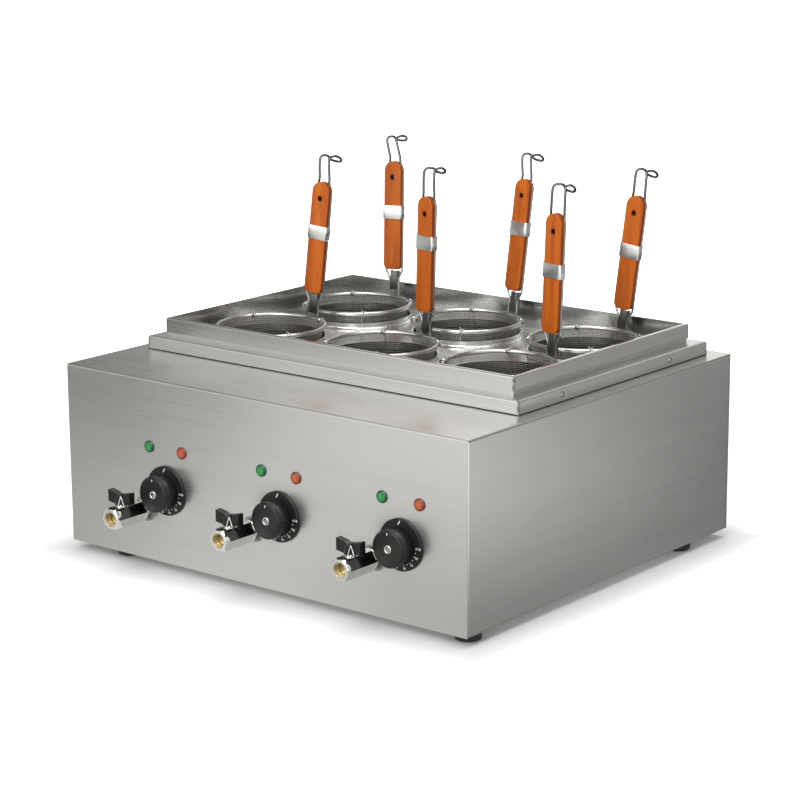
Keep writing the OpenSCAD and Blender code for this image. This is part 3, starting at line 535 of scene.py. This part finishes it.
def tube(path, radius, sides, guide=UP, closed=False, marks=None):
    """Round bar along a path: a circle in the plane across the path at each point, its zero turned to the
    guide."""
    path = np.asarray(path, float)
    ahead = np.roll(path, -1, 0) - np.roll(path, 1, 0) if closed else np.gradient(path, axis=0)
    ahead = unit(ahead)
    guide = np.broadcast_to(guide, path.shape)
    side = unit(guide - (guide * ahead).sum(1, keepdims=True) * ahead)
    up = np.cross(ahead, side)
    turn = around(sides)[None, :, None]
    radius = np.broadcast_to(radius, len(path))[:, None, None]
    ring = path[:, None] + radius * (np.cos(turn) * side[:, None] + np.sin(turn) * up[:, None])
    return Surface(ring, rows_close=closed, marks=marks)


def lathe(profile, count, closed=False, marks=None):
    """A profile of (radius, height) turned round the z axis."""
    profile = np.asarray(profile, float)
    turn = around(count)
    radius, height = profile[:, 0], np.repeat(profile[:, 1:], count, 1)
    ring = np.stack([np.outer(radius, np.cos(turn)), np.outer(radius, np.sin(turn)), height], -1)
    marks = {key: np.asarray(values)[:, None] for key, values in (marks or {}).items()}
    return Surface(ring, rows_close=closed, marks=marks)


def arc(centre, radius, start, end, count):
    """Points on a circle in a plane."""
    a = np.radians(np.linspace(start, end, count))
    return np.stack([centre[0] + radius * np.cos(a), centre[1] + radius * np.sin(a)], 1)


def smooth(points, steps):
    """Curve through the points, each span a cubic that leaves and enters along its neighbours."""
    p = np.asarray(points, float)
    p = np.concatenate([p[:1], p, p[-1:]])
    a, b, c, d = [ends[:, None] for ends in (p[:-3], p[1:-2], p[2:-1], p[3:])]
    t = (np.arange(steps) / steps)[None, :, None]
    square, cube = 2 * a - 5 * b + 4 * c - d, 3 * b - a - 3 * c + d
    spans = b + (c - a) * t / 2 + square * t**2 / 2 + cube * t**3 / 2
    return np.concatenate([spans.reshape(-1, p.shape[1]), p[-1:]])


def at_height(flat, height):
    """Points of a plane, (x, y), set at one height."""
    return np.concatenate([flat, np.full((len(flat), 1), height)], 1)


def turned(points, axis, degrees):
    return points @ np.array(Matrix.Rotation(math.radians(degrees), 3, axis)).T


def in_basket(i):
    """From a frame at the middle of a basket's hoop."""
    return lambda p: turned(p, "Z", -BASKET_TURN[i]) + np.array([*BASKETS[i], HOOP_Z])


def in_handle(i):
    """From a frame at the foot of a basket's handle, with z up along the grip and y out of the basket."""
    out = HANDLE_R + FOOT_HALF * math.sin(math.radians(HANDLE_TWIST[i]))

    def move(p):
        p = turned(turned(p, "Z", HANDLE_TWIST[i]), "X", -HANDLE_LEAN[i])
        return in_basket(i)(turned(p, "Y", HANDLE_SWAY[i]) + np.array([0, out, HANDLE_LIFT[i]]))
    return move


def on_front(x, z):
    """From a frame with z straight out of the front panel and y up."""
    return lambda p: np.stack([x + p[..., 0], FRONT_Y - p[..., 2], z + p[..., 1]], -1)


# ---------------------------------------------------------------- baskets

def woven_cup():
    """Woven wire cup. Uprights run down the wall and round the corner; hoops lie at even steps along them;
    each strand sways in and out across the wall so that it passes over one neighbour and under the next. The
    floor is a disc of straight strands woven the same way."""
    strands, pitch, sway, thin = 168, 2.55, 0.4, 0.36
    wall = np.linspace([CUP_TOP_R, 0.0], [CUP_FLOOR_R + CUP_CORNER_R, -CUP_WALL], 60)
    corner = arc((CUP_FLOOR_R, -CUP_WALL), CUP_CORNER_R, 0, -90, 9)
    line = np.concatenate([wall, corner[1:]])
    run = np.concatenate([[0], np.cumsum(np.linalg.norm(np.diff(line, axis=0), axis=1))])
    at = np.linspace(0, run[-1], int(run[-1] / pitch))
    radius, height = np.interp(at, run, line[:, 0]), np.interp(at, run, line[:, 1])
    slope = unit(np.stack([np.gradient(radius), np.gradient(height)], 1))
    turn = around(strands)
    out = np.stack([np.cos(turn), np.sin(turn), 0 * turn], 1)
    side = np.stack([-np.sin(turn), np.cos(turn), 0 * turn], 1)
    middle = radius[None, :, None] * out[:, None] + height[None, :, None] * UP
    normal = -slope[None, :, 1:] * out[:, None] + slope[None, :, :1] * UP
    down = slope[None, :, :1] * out[:, None] + slope[None, :, 1:] * UP
    crossing = np.arange(strands)[:, None] + np.arange(len(at))[None]
    weave = np.where(crossing % 2, sway, -sway)[..., None]
    ring = around(3)[:, None]
    # over: painted highlight on each strand's outward side, painted shade round its other sides
    marks = {"over": 0.5 + 0.5 * np.cos(ring[:, 0])}

    def strand(centre, lift, across):
        lift, across = lift[..., None, :], across[..., None, :]
        return centre[..., None, :] + thin * (np.cos(ring) * lift + np.sin(ring) * across)

    upright = strand(middle + weave * normal, normal, np.broadcast_to(side[:, None], middle.shape))
    level = strand(middle - weave * normal, normal, down).swapaxes(0, 1)

    each_side, steps, floor_z = 17, 38, -(CUP_WALL + CUP_CORNER_R)
    count = np.arange(-each_side, each_side + 1)
    lines = count * pitch
    half = np.sqrt(CUP_FLOOR_R**2 - lines**2)
    x = lines[:, None] * np.ones((1, steps))
    y = half[:, None] * np.linspace(-1, 1, steps)
    wave = sway * np.cos(math.pi * (y / pitch + (count + each_side)[:, None]))
    floor = np.stack([x, y, floor_z + wave], -1)
    crossed = np.stack([y, x, floor_z - wave], -1)
    same = np.ones_like(floor)
    return [
        Surface(upright, marks=marks), Surface(level, rows_close=True, marks=marks),
        Surface(strand(floor, same * UP, same * ACROSS), marks=marks),
        Surface(strand(crossed, same * UP, same * [0, 1.0, 0]), marks=marks),
    ]


def hoop():
    """Thick rod bent to a circle, with a small gap where its two ends meet."""
    start, end = 227, 585.6
    a = np.radians(np.linspace(start, end, 150))
    return tube(np.stack([HOOP_R * np.cos(a), HOOP_R * np.sin(a), 0 * a], 1), ROD_R, 16)


def tie_wire(angle, drop):
    """One leg of a tie: across under the floor, round the corner, up the wall, nearly twice round the hoop
    and a stub. It lies just outside the cup."""
    thick, clear, coil_r, coil_steps = 0.95, 1.5, 3.65, 60
    corner = CUP_CORNER_R + clear
    floor = -CUP_WALL - corner - drop
    bend = arc((CUP_FLOOR_R, -CUP_WALL), corner, -90, 0, 8)
    bend[0, 1] = floor
    a = np.radians(np.linspace(-110, 560, coil_steps))
    coil = np.stack([HOOP_R + coil_r * np.cos(a), coil_r * np.sin(a)], 1)
    stub = coil[-1:] + [[-0.9, 2.4], [-1.0, 4.6]]
    before = np.concatenate([[[0.0, floor]], bend, [[CUP_TOP_R + clear, -6.0]]])
    flat = np.concatenate([before, coil, stub])
    shift = np.concatenate([np.zeros(len(before)), np.linspace(0, 3.9, coil_steps), [4.3, 4.6]])
    path = smooth(np.stack([flat[:, 0], shift, flat[:, 1]], 1), 3)
    return tube(turned(path, "Z", angle), thick, 8, turned(np.array([0, 1.0, 0]), "Z", angle))


def handle_wire(i):
    """One wire bent double: up both sides of the grip, closer together above it, over into a hook, and on
    into an open eye that droops."""
    rise, eye_start, eye_drop, beside_grip = 33.5, 9.0, 1.5, 12.7
    top = GRIP_END + rise - HOOK_DROP[i]

    def eye(part, x, lift):
        """A point part of the way along the eye, which falls in a straight line to its end."""
        out = eye_start + part * (EYE_REACH[i] - eye_start)
        fall = (0.05 + 0.95 * part) * (EYE_DROOP[i] - eye_drop)
        return [x, out, top - eye_drop - fall + lift]

    def leg(side):
        """From a foot to the eye's end. The right leg rises to the eye's upper strand, the left one comes
        down to the lower."""
        over, half = -1.6 * side, HOOK_HALF[i]
        foot = [[FOOT_HALF * side, 0, z] for z in (-6, 6, GRIP_START - 12)]
        beside = [[beside_grip * side, 0, z] for z in (GRIP_START + 10, GRIP_END - 22)]
        return smooth(np.array([
            *foot, [12.5 * side, 0, GRIP_START - 1], *beside,
            [(5.0 + 0.6 * half) * side, 0, GRIP_END - 8], [half * side, 0, GRIP_END + 2],
            [(half - 0.3) * side, 0, top - 15], [(half - 0.9) * side, 1, top - 6 + over],
            [0.58 * half * side, 4.5, top - 2.2 + over], eye(0.04, 1.6 * side, 0.4 * over),
            eye(0.35, 4.4 * side, 1.2 + 2.2 * side), eye(0.65, 5.4 * side, 1.0 + 2.6 * side),
            eye(0.92, 3.2 * side, 0.4 + 1.4 * side), eye(1, 0, 0),
        ]), 10)

    def from_height(z, run):
        return np.clip((path[:, 2:] - z) / run, 0, 1)

    path = np.concatenate([leg(1), leg(-1)[-2::-1]])
    path[:, :1] += HOOK_LEAN[i] * from_height(GRIP_END + 5, 23.5)
    over_top = np.clip((path[:, 1:2] - 3.0) / 4.0, 0, 1)
    beside, above = from_height(GRIP_START, 8), from_height(GRIP_END - 8, 8)
    # wire darker beside the grip and darker still above it
    darkening, guide = 0.4 + 0.35 * beside + 0.25 * above, (1 - over_top) * ACROSS + over_top * UP
    return tube(path, WIRE_R + 0.25 * above[:, 0], 12, guide, marks={"darkening": darkening})


def bracket():
    """Folded channel between the wires' feet: a flat web and two flanges, hollow towards the back. Its wall
    thins towards both ends, which rounds their edges."""
    web_half, bend_y, back_y, outside, inside = 4.1, 0.3, 5.5, 1.8, 0.6
    wall_half, closing = (outside - inside) / 2, 0.02
    height = np.array([3.2, 3.5, 4.2, 28.2, 29.0, 29.3])
    inset = np.array([0.5, 0.15, 0.0, 0.0, 0.15, 0.5])

    def channel(bend):
        side = web_half + bend
        return np.concatenate([
            [[side, back_y]], arc((web_half, bend_y), bend, 0, -90, 6),
            arc((-web_half, bend_y), bend, -90, -180, 6), [[-side, back_y]],
        ])

    outer, inner = channel(outside), channel(inside)
    middle = (outer + inner) / 2
    shut = np.concatenate([middle, middle[::-1]])
    rows = [at_height(shut, height[0] - closing)]
    for z, thin in zip(height, 1 - inset / wall_half * 0.98):
        walls = [middle + thin * (outer - middle), (middle + thin * (inner - middle))[::-1]]
        rows.append(at_height(np.concatenate(walls), z))
    rows.append(at_height(shut, height[-1] + closing))
    return Surface(np.stack(rows), ends=False)


def wooden_grip():
    """Flat grip: rows of points run from the hanging hole over the crowned front face to the rounded edge,
    round it, and back over the rear face into the hole. The outline has a round top and a blunt lower end
    with rounded corners."""
    half, low, high, bevel, corner = 13.2, GRIP_START, GRIP_END, 1.0, 8.0
    thick_half, crown_fall, hole_rim = 5.0, 0.4, 3.9
    right = np.concatenate([
        arc((half - corner, low + corner), corner, -90, 0, 9),
        np.linspace([half, low + 14.0], [half, high - 18.0], 14),
        arc((0.0, high - half), half, 0, 84, 14),
    ])
    outline = np.concatenate([right, [[0.0, high]], right[::-1] * [-1, 1], [[0.0, low]]])
    run = np.roll(outline, -1, 0) - np.roll(outline, 1, 0)
    face_edge = outline + bevel * unit(np.stack([-run[:, 1], run[:, 0]], 1))
    hole = np.array([0.0, high - 22.0])
    heading = unit(outline - hole)
    rows, edge, hole_shade = [], [], []

    def row(flat, y, near_edge, in_hole):
        rows.append(np.stack([flat[:, 0], np.broadcast_to(y, len(flat)), flat[:, 1]], 1))
        edge.append(near_edge)
        hole_shade.append(in_hole)

    def crown(flat):
        return thick_half - crown_fall * (flat[:, 0] / half) ** 2

    for out, y, in_hole in [(3.0, 2.0, 1.0), (3.0, 4.2, 1.0), (3.3, 4.8, 0.9)]:
        row(hole + out * heading, y, 0.0, in_hole)
    rim = hole + hole_rim * heading
    for share, in_hole in [(0.0, 0.25), (0.25, 0.0), (0.5, 0.0), (0.75, 0.0), (0.92, 0.0)]:
        flat = rim + share * (face_edge - rim)
        row(flat, crown(flat), 0.0, in_hole)
    for a in np.radians(np.linspace(0, 90, 7)):
        flat = outline + (1 - math.sin(a)) * (face_edge - outline)
        row(flat, crown(face_edge) - bevel * (1 - math.cos(a)), (a / (math.pi / 2)) ** 1.5, 0.0)
    front = np.stack(rows) * [1, -1, 1]
    grid = np.concatenate([front, front[::-1] * [1, -1, 1]]) + [0, GRIP_Y, 0]
    # edge and hole marks carry the painted shade on the grip's edges and sides and inside its hole
    marks = {"edge": edge + edge[::-1], "hole": hole_shade + hole_shade[::-1]}
    marks = {key: np.array(values)[:, None] for key, values in marks.items()}
    return Surface(grid, rows_close=True, marks=marks)


def steel_band(i):
    """Strip bent round the grip and its wires: a rounded rectangle with bowed long sides and thin rounded
    edges."""
    side, face, corner, bow, width = 14.7, 5.3, 1.8, 0.5, 18.0
    flat = np.linspace([side - corner, face], [corner - side, face], 11)
    half = np.concatenate([
        arc((side - corner, face - corner), corner, 0, 90, 8), flat[1:-1],
        arc((corner - side, face - corner), corner, 90, 180, 8),
    ])
    outer = np.concatenate([half, -half])
    outer[:, 1] += np.sign(outer[:, 1]) * bow * (1 - (outer[:, 0] / side) ** 2)
    inner, edge = outer * [0.955, 0.88], 0.992 * outer
    rows = [
        (inner, 0.15), (edge, 0.0), (outer, 0.3),
        (outer, width - 0.3), (edge, width), (inner, width - 0.15),
    ]
    low = GRIP_START + BAND_START + BAND_SHIFT[i]
    loops = [at_height(loop + [0, GRIP_Y], low + z) for loop, z in rows]
    return Surface(np.stack(loops), rows_close=True)


CUP = woven_cup()
for i in range(len(BASKETS)):
    body = f"basket_{i + 1}"
    basket, handle = in_basket(i), in_handle(i)
    cup = [surface.moved(basket) for surface in CUP]
    piece(f"{body}_woven_cup", body, CLOTH, cup, f"{body}_cup", 180)
    piece(f"{body}_hoop", body, ROD, [hoop().moved(basket)], f"{body}_frame")
    ties = [tie_wire(TIE_START[i] + 90 * k, 2.0 * (k % 2)).moved(basket) for k in range(4)]
    piece(f"{body}_ties", body, WIRE, ties, crease=70)
    wire, grip, band = [shape.moved(handle) for shape in (handle_wire(i), wooden_grip(), steel_band(i))]
    piece(f"{body}_handle_wire", body, HANDLE, [wire], crease=70)
    piece(f"{body}_bracket", body, PLATE, [bracket().moved(handle)])
    piece(f"{body}_wooden_grip", body, WOOD, [grip], f"{body}_grip", 60)
    piece(f"{body}_steel_band", body, STRIP, [band], f"{body}_band")


# ---------------------------------------------------------------- controls

def knob_cap():
    """Turned knob: a side that widens towards the front, a rounded front edge and a dished face."""
    back, bore, root, edge = DIAL_T + 0.4, 3.3, 19.4, 3.1
    dish = arc((0.0, KNOB_OUT - DISH_DEPTH + DISH_R), DISH_R, -90 + 10.6, -90, 9)
    return lathe(np.concatenate([
        [[bore, back + 0.2], [root, back], [root + 0.7, back + 0.6], [22.3, KNOB_OUT - 8.0]],
        arc((root, KNOB_OUT - edge), edge, 0, 78, 9), dish,
    ]), 96)


def centre_disc():
    """Plain plated disc in the middle of the dish, and a raised ring round it. Gives the ring, then the
    disc."""
    face, ring_r, ring_thick, disc_r = KNOB_OUT - DISH_DEPTH, 4.3, 0.75, 3.9
    ring = arc((ring_r, face + 0.6), ring_thick, -90, 270, 17)[:-1]
    disc = [[disc_r, -0.4], [disc_r, 0.4], [3.3, 0.7], [1.6, 0.8], [0.2, 0.85]]
    return lathe(ring, 48, closed=True), lathe(np.array(disc) + [0, face], 48)


def slab(corners, low, high):
    """Straight-sided plate over an outline with a chamfered front edge."""
    corners = np.asarray(corners, float)
    middle = corners.mean(0)
    rows = [(1.0, low), (1.0, high - 0.06), (0.9, high)]
    return Surface(np.stack([at_height(middle + s * (corners - middle), h) for s, h in rows]))


def number_mesh(name, text):
    """Flat raised text as a mesh, centred."""
    curve = bpy.data.curves.new(name, "FONT")
    curve.body, curve.size, curve.align_x, curve.align_y = text, 4.4, "CENTER", "CENTER"
    curve.extrude, curve.resolution_u = 0.06, 2
    holder = shown(name, curve)
    bpy.context.view_layer.update()
    graph = bpy.context.evaluated_depsgraph_get()
    mesh = bpy.data.meshes.new_from_object(holder.evaluated_get(graph))
    bpy.data.objects.remove(holder)
    bpy.data.curves.remove(curve)
    return mesh


def dial_print(name, x):
    """White scale printed on a dial: a slanted stroke at the top, and a row of dots down the right, every
    second one with a number."""
    dot_r, number_r, first, dot_step = 23.8, 27.3, -190, 12.5
    out = on_front(x, KNOB_Z)
    stroke = [[-2.6, 24.0], [-1.5, 23.8], [1.4, 28.8], [0.3, 29.0]]
    marks = [slab(stroke, DIAL_T, DIAL_T + 0.12).moved(out)]
    for step in range(9):
        at = turned(np.array([0, dot_r, DIAL_T]), "Z", dot_step * step + first)
        dot = lathe([[0.6, 0.0], [0.6, 0.1], [0.45, 0.14]], 12)
        marks.append(dot.moved(lambda p, at=at: out(p + at)))
    piece(f"{name}_scale_marks", "casing", PRINT, marks)
    for step, number in enumerate(("30", "50", "70", "90", "110")):
        mesh = number_mesh(f"{name}_number", number)
        flat = np.zeros(len(mesh.vertices) * 3, np.float32)
        mesh.vertices.foreach_get("co", flat)
        at = turned(np.array([0, number_r, DIAL_T + 0.08]), "Z", 2 * dot_step * step + first)
        placed = out(flat.reshape(-1, 3) + at) * MM
        mesh.vertices.foreach_set("co", placed.astype(np.float32).ravel())
        mesh.materials.clear()
        mesh.materials.append(PRINT)
        mesh.update()
        numeral = shown(f"{name}_scale_number_{step + 1}", mesh)
        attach(numeral, "casing")


def thread():
    """Cut thread just inside the valve's mouth: a sleeve whose inner wall is a row of ridges."""
    mouth, end, steps = 61.2, 52.5, 33
    root, ridge_height, sleeve = 9.1, 0.75, 9.26
    ridge = np.where(np.arange(steps) % 2, 1.0, 0.0)
    inner = np.stack([root - ridge_height * ridge, np.linspace(mouth, end, steps)], 1)
    outer = np.array([[sleeve, end], [sleeve, mouth]])
    crest = np.concatenate([ridge, [0.0, 0.0]])
    return lathe(np.concatenate([inner, outer]), 64, closed=True, marks={"crest": crest})


def lever_clip():
    """Bent wire clip on the side of the lever's hub, a narrow upturned V, and a round stud under it."""
    thick, hub_turn = 0.7, 40
    corners = [[-3.4, 14.9, 8.4], [-0.5, 25.2, 8.5], [0.5, 25.2, 8.5], [3.4, 14.9, 8.4]]
    stud = lathe([[1.9, -0.6], [1.9, 0.8], [1.5, 1.7], [0.7, 2.2], [0.1, 2.3]], 24)
    made = [tube(smooth(corners, 6), thick, 8), stud.moved(lambda p: p + np.array([0, 14.2, 7.6]))]
    out = np.array([0, 0, STEM_OUT])
    return [surface.moved(lambda p: turned(p, "Y", hub_turn) + out) for surface in made]


def lens():
    """Low round lens: a short rim, a rounded shoulder, and a shallow dome with cut rays."""
    dome_r, dome_z, dome_rise, ray_depth, rays, count = 6.2, 2.15, 0.85, 0.1, 8, 64
    rim = np.concatenate([[[LENS_R, 0.02], [LENS_R, 1.0]], arc((6.6, 1.2), 0.9, 0, 75, 5)])
    rise = dome_z + dome_rise * np.sqrt(1 - np.linspace(0.83, 0.01, 8) ** 2)
    profile = np.concatenate([rim, np.stack([np.linspace(dome_r, 0.1, 8), rise], 1)])
    # rim mark: painted shade towards the lens's edge
    shape = lathe(profile, count, marks={"rim": profile[:, 0] / LENS_R})
    share = np.clip(profile[len(rim):, :1] / dome_r, 0, 1)
    shape.points[0, len(rim):, :, 2] += ray_depth * np.cos(rays * around(count)) * share
    return shape


POINTER = [[-0.45, 16.8], [0.45, 16.8], [0.45, 19.4], [-0.45, 19.4]]
for side, x in COLUMNS.items():
    out = on_front(x + KNOB_DX, KNOB_Z)
    turning = f"{side}_thermostat"
    piece(f"{side}_knob_cap", turning, KNOB, [knob_cap().moved(out)], f"{side}_knob")
    ring, disc = centre_disc()
    piece(f"{side}_knob_ring", turning, CHROME, [ring.moved(out)])
    piece(f"{side}_knob_disc", turning, BOLT, [disc.moved(out)])
    pointer = slab(POINTER, KNOB_OUT - 1.0, KNOB_OUT + 0.02)
    piece(f"{side}_knob_pointer", turning, PRINT, [pointer.moved(out)])
    dial_print(side, x + KNOB_DX)
    at = on_front(*VALVES[side])
    piece(f"{side}_outlet_thread", "casing", BRASS, [thread().moved(at)], crease=80)
    clip = [surface.moved(at) for surface in lever_clip()]
    piece(f"{side}_lever_clip", f"{side}_valve", CHROME, clip)


def collar_shadow_bead():
    """Dark bead along the foot of the collar, painted shade standing in for the shadow in the gap under the
    collar: a thin round bar on a rounded rectangle.
    """
    height, thick, bend, sunk = 242.2, 1.1, 3.0, 0.2
    x, y = [half - sunk - bend for half in COLLAR_HALF]
    spots = [(x, y), (-x, y), (-x, -y), (x, -y)]
    flat = np.concatenate([arc(spot, bend, 90 * k, 90 * k + 90, 7) for k, spot in enumerate(spots)])
    return tube(at_height(flat + [0, TANKS_Y], height), thick, 8, closed=True)


# Black bead: painted shade for the shadow gap under the collar.
piece("collar_shadow_bead", "casing", RUBBER, [collar_shadow_bead()])
green = [lens().moved(on_front(x + GREEN_DX, LAMP_Z)) for x in COLUMNS.values()]
orange = [lens().moved(on_front(x + ORANGE_DX, LAMP_Z)) for x in COLUMNS.values()]
piece("green_lenses", "casing", GREEN, green, "green_lamps")
piece("orange_lenses", "casing", ORANGE, orange, "orange_lamps")


# ---------------------------------------------------------------- studio

def studio_floor():
    """White sweep under the object. The camera sees white paper that keeps the soft shadow. The steel sees
    lighter and darker fields on it: in front of the casing close by and further off, behind it, and beside
    its right side."""
    reach, grey = 8.0, 0.66
    mesh = bpy.data.meshes.new("studio_floor")
    corners = [(-reach, -reach, 0), (reach, -reach, 0), (reach, reach, 0), (-reach, reach, 0)]
    mesh.from_pydata(corners, [], [(0, 1, 2, 3)])
    made = shown("studio_floor", mesh)
    f = Finish("white_paper")
    x, y, _ = f.axes()
    seen, mirrored = f.ray("Is Camera Ray"), f.ray("Is Glossy Ray")
    half_x, half_y = [half * MM for half in CASING_HALF]

    paper = f.node("ShaderNodeBsdfDiffuse", sockets={"Color": (grey, grey, grey, 1.0)})
    away = (x * x + y * y) ** 0.5
    gap = (abs(x) - half_x).most(abs(y - CASING_Y * MM) - half_y)
    lift = 0.5 * gap.between(0.0, 0.1) + away.between(0.7, 1.6)
    glow = f.node("ShaderNodeEmission", sockets={"Color": WHITE, "Strength": lift * seen})
    lit = f.node("ShaderNodeAddShader", sockets={0: paper, 1: glow})

    near, behind = FRONT_Y * MM - y, y.between(0.2, 0.7)
    across = x + 0.8 * near
    far_left = 0.55 * (-across).between(0.68, 0.9)
    far = 0.16 + 0.88 * across.between(-0.4, 0.2).most(behind).most(far_left)
    close = 0.58 + 0.24 * across.between(-0.35, -0.05) - 0.2 * across.between(0.0, 0.3)
    front = close + near.between(0.1, 0.8).most(behind) * (far - close)
    back = 1.0 - 0.72 * y.between(0.05, 1.0) * x.between(-0.4, 0.3)
    beside = 0.32 + 1.3 * (x - half_x).between(0.0, 0.85)
    sheen = back * (front + x.between(0.3, 0.33) * (beside - front))
    card = f.node("ShaderNodeEmission", sockets={"Color": (1, 1, 0.99, 1), "Strength": sheen})
    f.end("Material Output", f.node("ShaderNodeMixShader", sockets={0: mirrored, 1: lit, 2: card}))
    mesh.materials.append(f.owner)


def studio_air():
    """White to the camera. The steel sees a room that is dim to the left, overhead, straight behind and at
    the far right, and brighter in front."""
    world = bpy.data.worlds.new("studio")
    bpy.context.scene.world = world
    f = Finish("studio", world)
    x, y, z = f.axes("Generated")
    side = x.between(-0.7, -0.57).most(0.45 * (-x).between(0.78, 0.9))
    behind = 1.0 - 0.6 * y.between(0.82, 0.95)
    far_right = 1.0 - 0.65 * x.between(0.1, 0.5) * y.between(0.1, 0.5)
    ceiling = 1.0 - 0.6 * z.between(0.4, 0.85)
    ahead = 1.0 + 0.25 * (1.0 - y.between(-0.5, 0.3)) + 0.7 * (1.0 - y.between(-0.85, -0.68))
    soft = (0.13 + 0.98 * side) * behind * far_right * ceiling * ahead
    paper = f.node("ShaderNodeBackground", sockets={"Color": WHITE, "Strength": 1.0})
    room = f.node("ShaderNodeBackground", sockets={"Color": (1, 0.99, 0.97, 1), "Strength": soft})
    seen = f.ray("Is Camera Ray")
    f.end("World Output", f.node("ShaderNodeMixShader", sockets={0: seen, 1: room, 2: paper}))


def soft_box(name, spot, aim, size, power):
    lamp = bpy.data.lights.new(name, "AREA")
    lamp.shape, lamp.size, lamp.size_y, lamp.energy = "RECTANGLE", size[0], size[1], power
    made = shown(name, lamp)
    made.location = spot
    made.rotation_euler = (Vector(aim) - Vector(spot)).to_track_quat("-Z", "Y").to_euler()


def camera():
    """The photo's point of view, found from the edges of the casing, collar and tray: turned to the right,
    lifted, and rolled a little about the line of sight."""
    spot = Vector((1.922641, -2.364107, 0.934599))
    turn, lift, roll = [math.radians(angle) for angle in (38.879, 13.691, -0.344)]
    flat = math.cos(lift)
    back = Vector((math.sin(turn) * flat, -math.cos(turn) * flat, math.sin(lift)))
    level = (-back).cross(Vector((0, 0, 1))).normalized()
    upright = level.cross(-back)
    right = math.cos(roll) * level + math.sin(roll) * upright
    up = -math.sin(roll) * level + math.cos(roll) * upright
    data = bpy.data.cameras.new("photo_camera")
    data.sensor_width, data.lens, data.clip_start, data.clip_end = 36.0, 112.3065, 0.1, 40.0
    made = shown("photo_camera", data)
    made.matrix_world = Matrix.Translation(spot) @ Matrix((right, up, back)).transposed().to_4x4()
    bpy.context.scene.camera = made


studio_floor()
studio_air()
soft_box("key_light", (0.4, -2.3, 2.2), (0, 0, 0.15), (1.6, 1.6), 44)
soft_box("top_light", (0.1, 0.3, 2.5), (0, 0, 0.2), (2.0, 1.4), 42)
camera()
bpy.context.scene.view_settings.view_transform = "Standard"
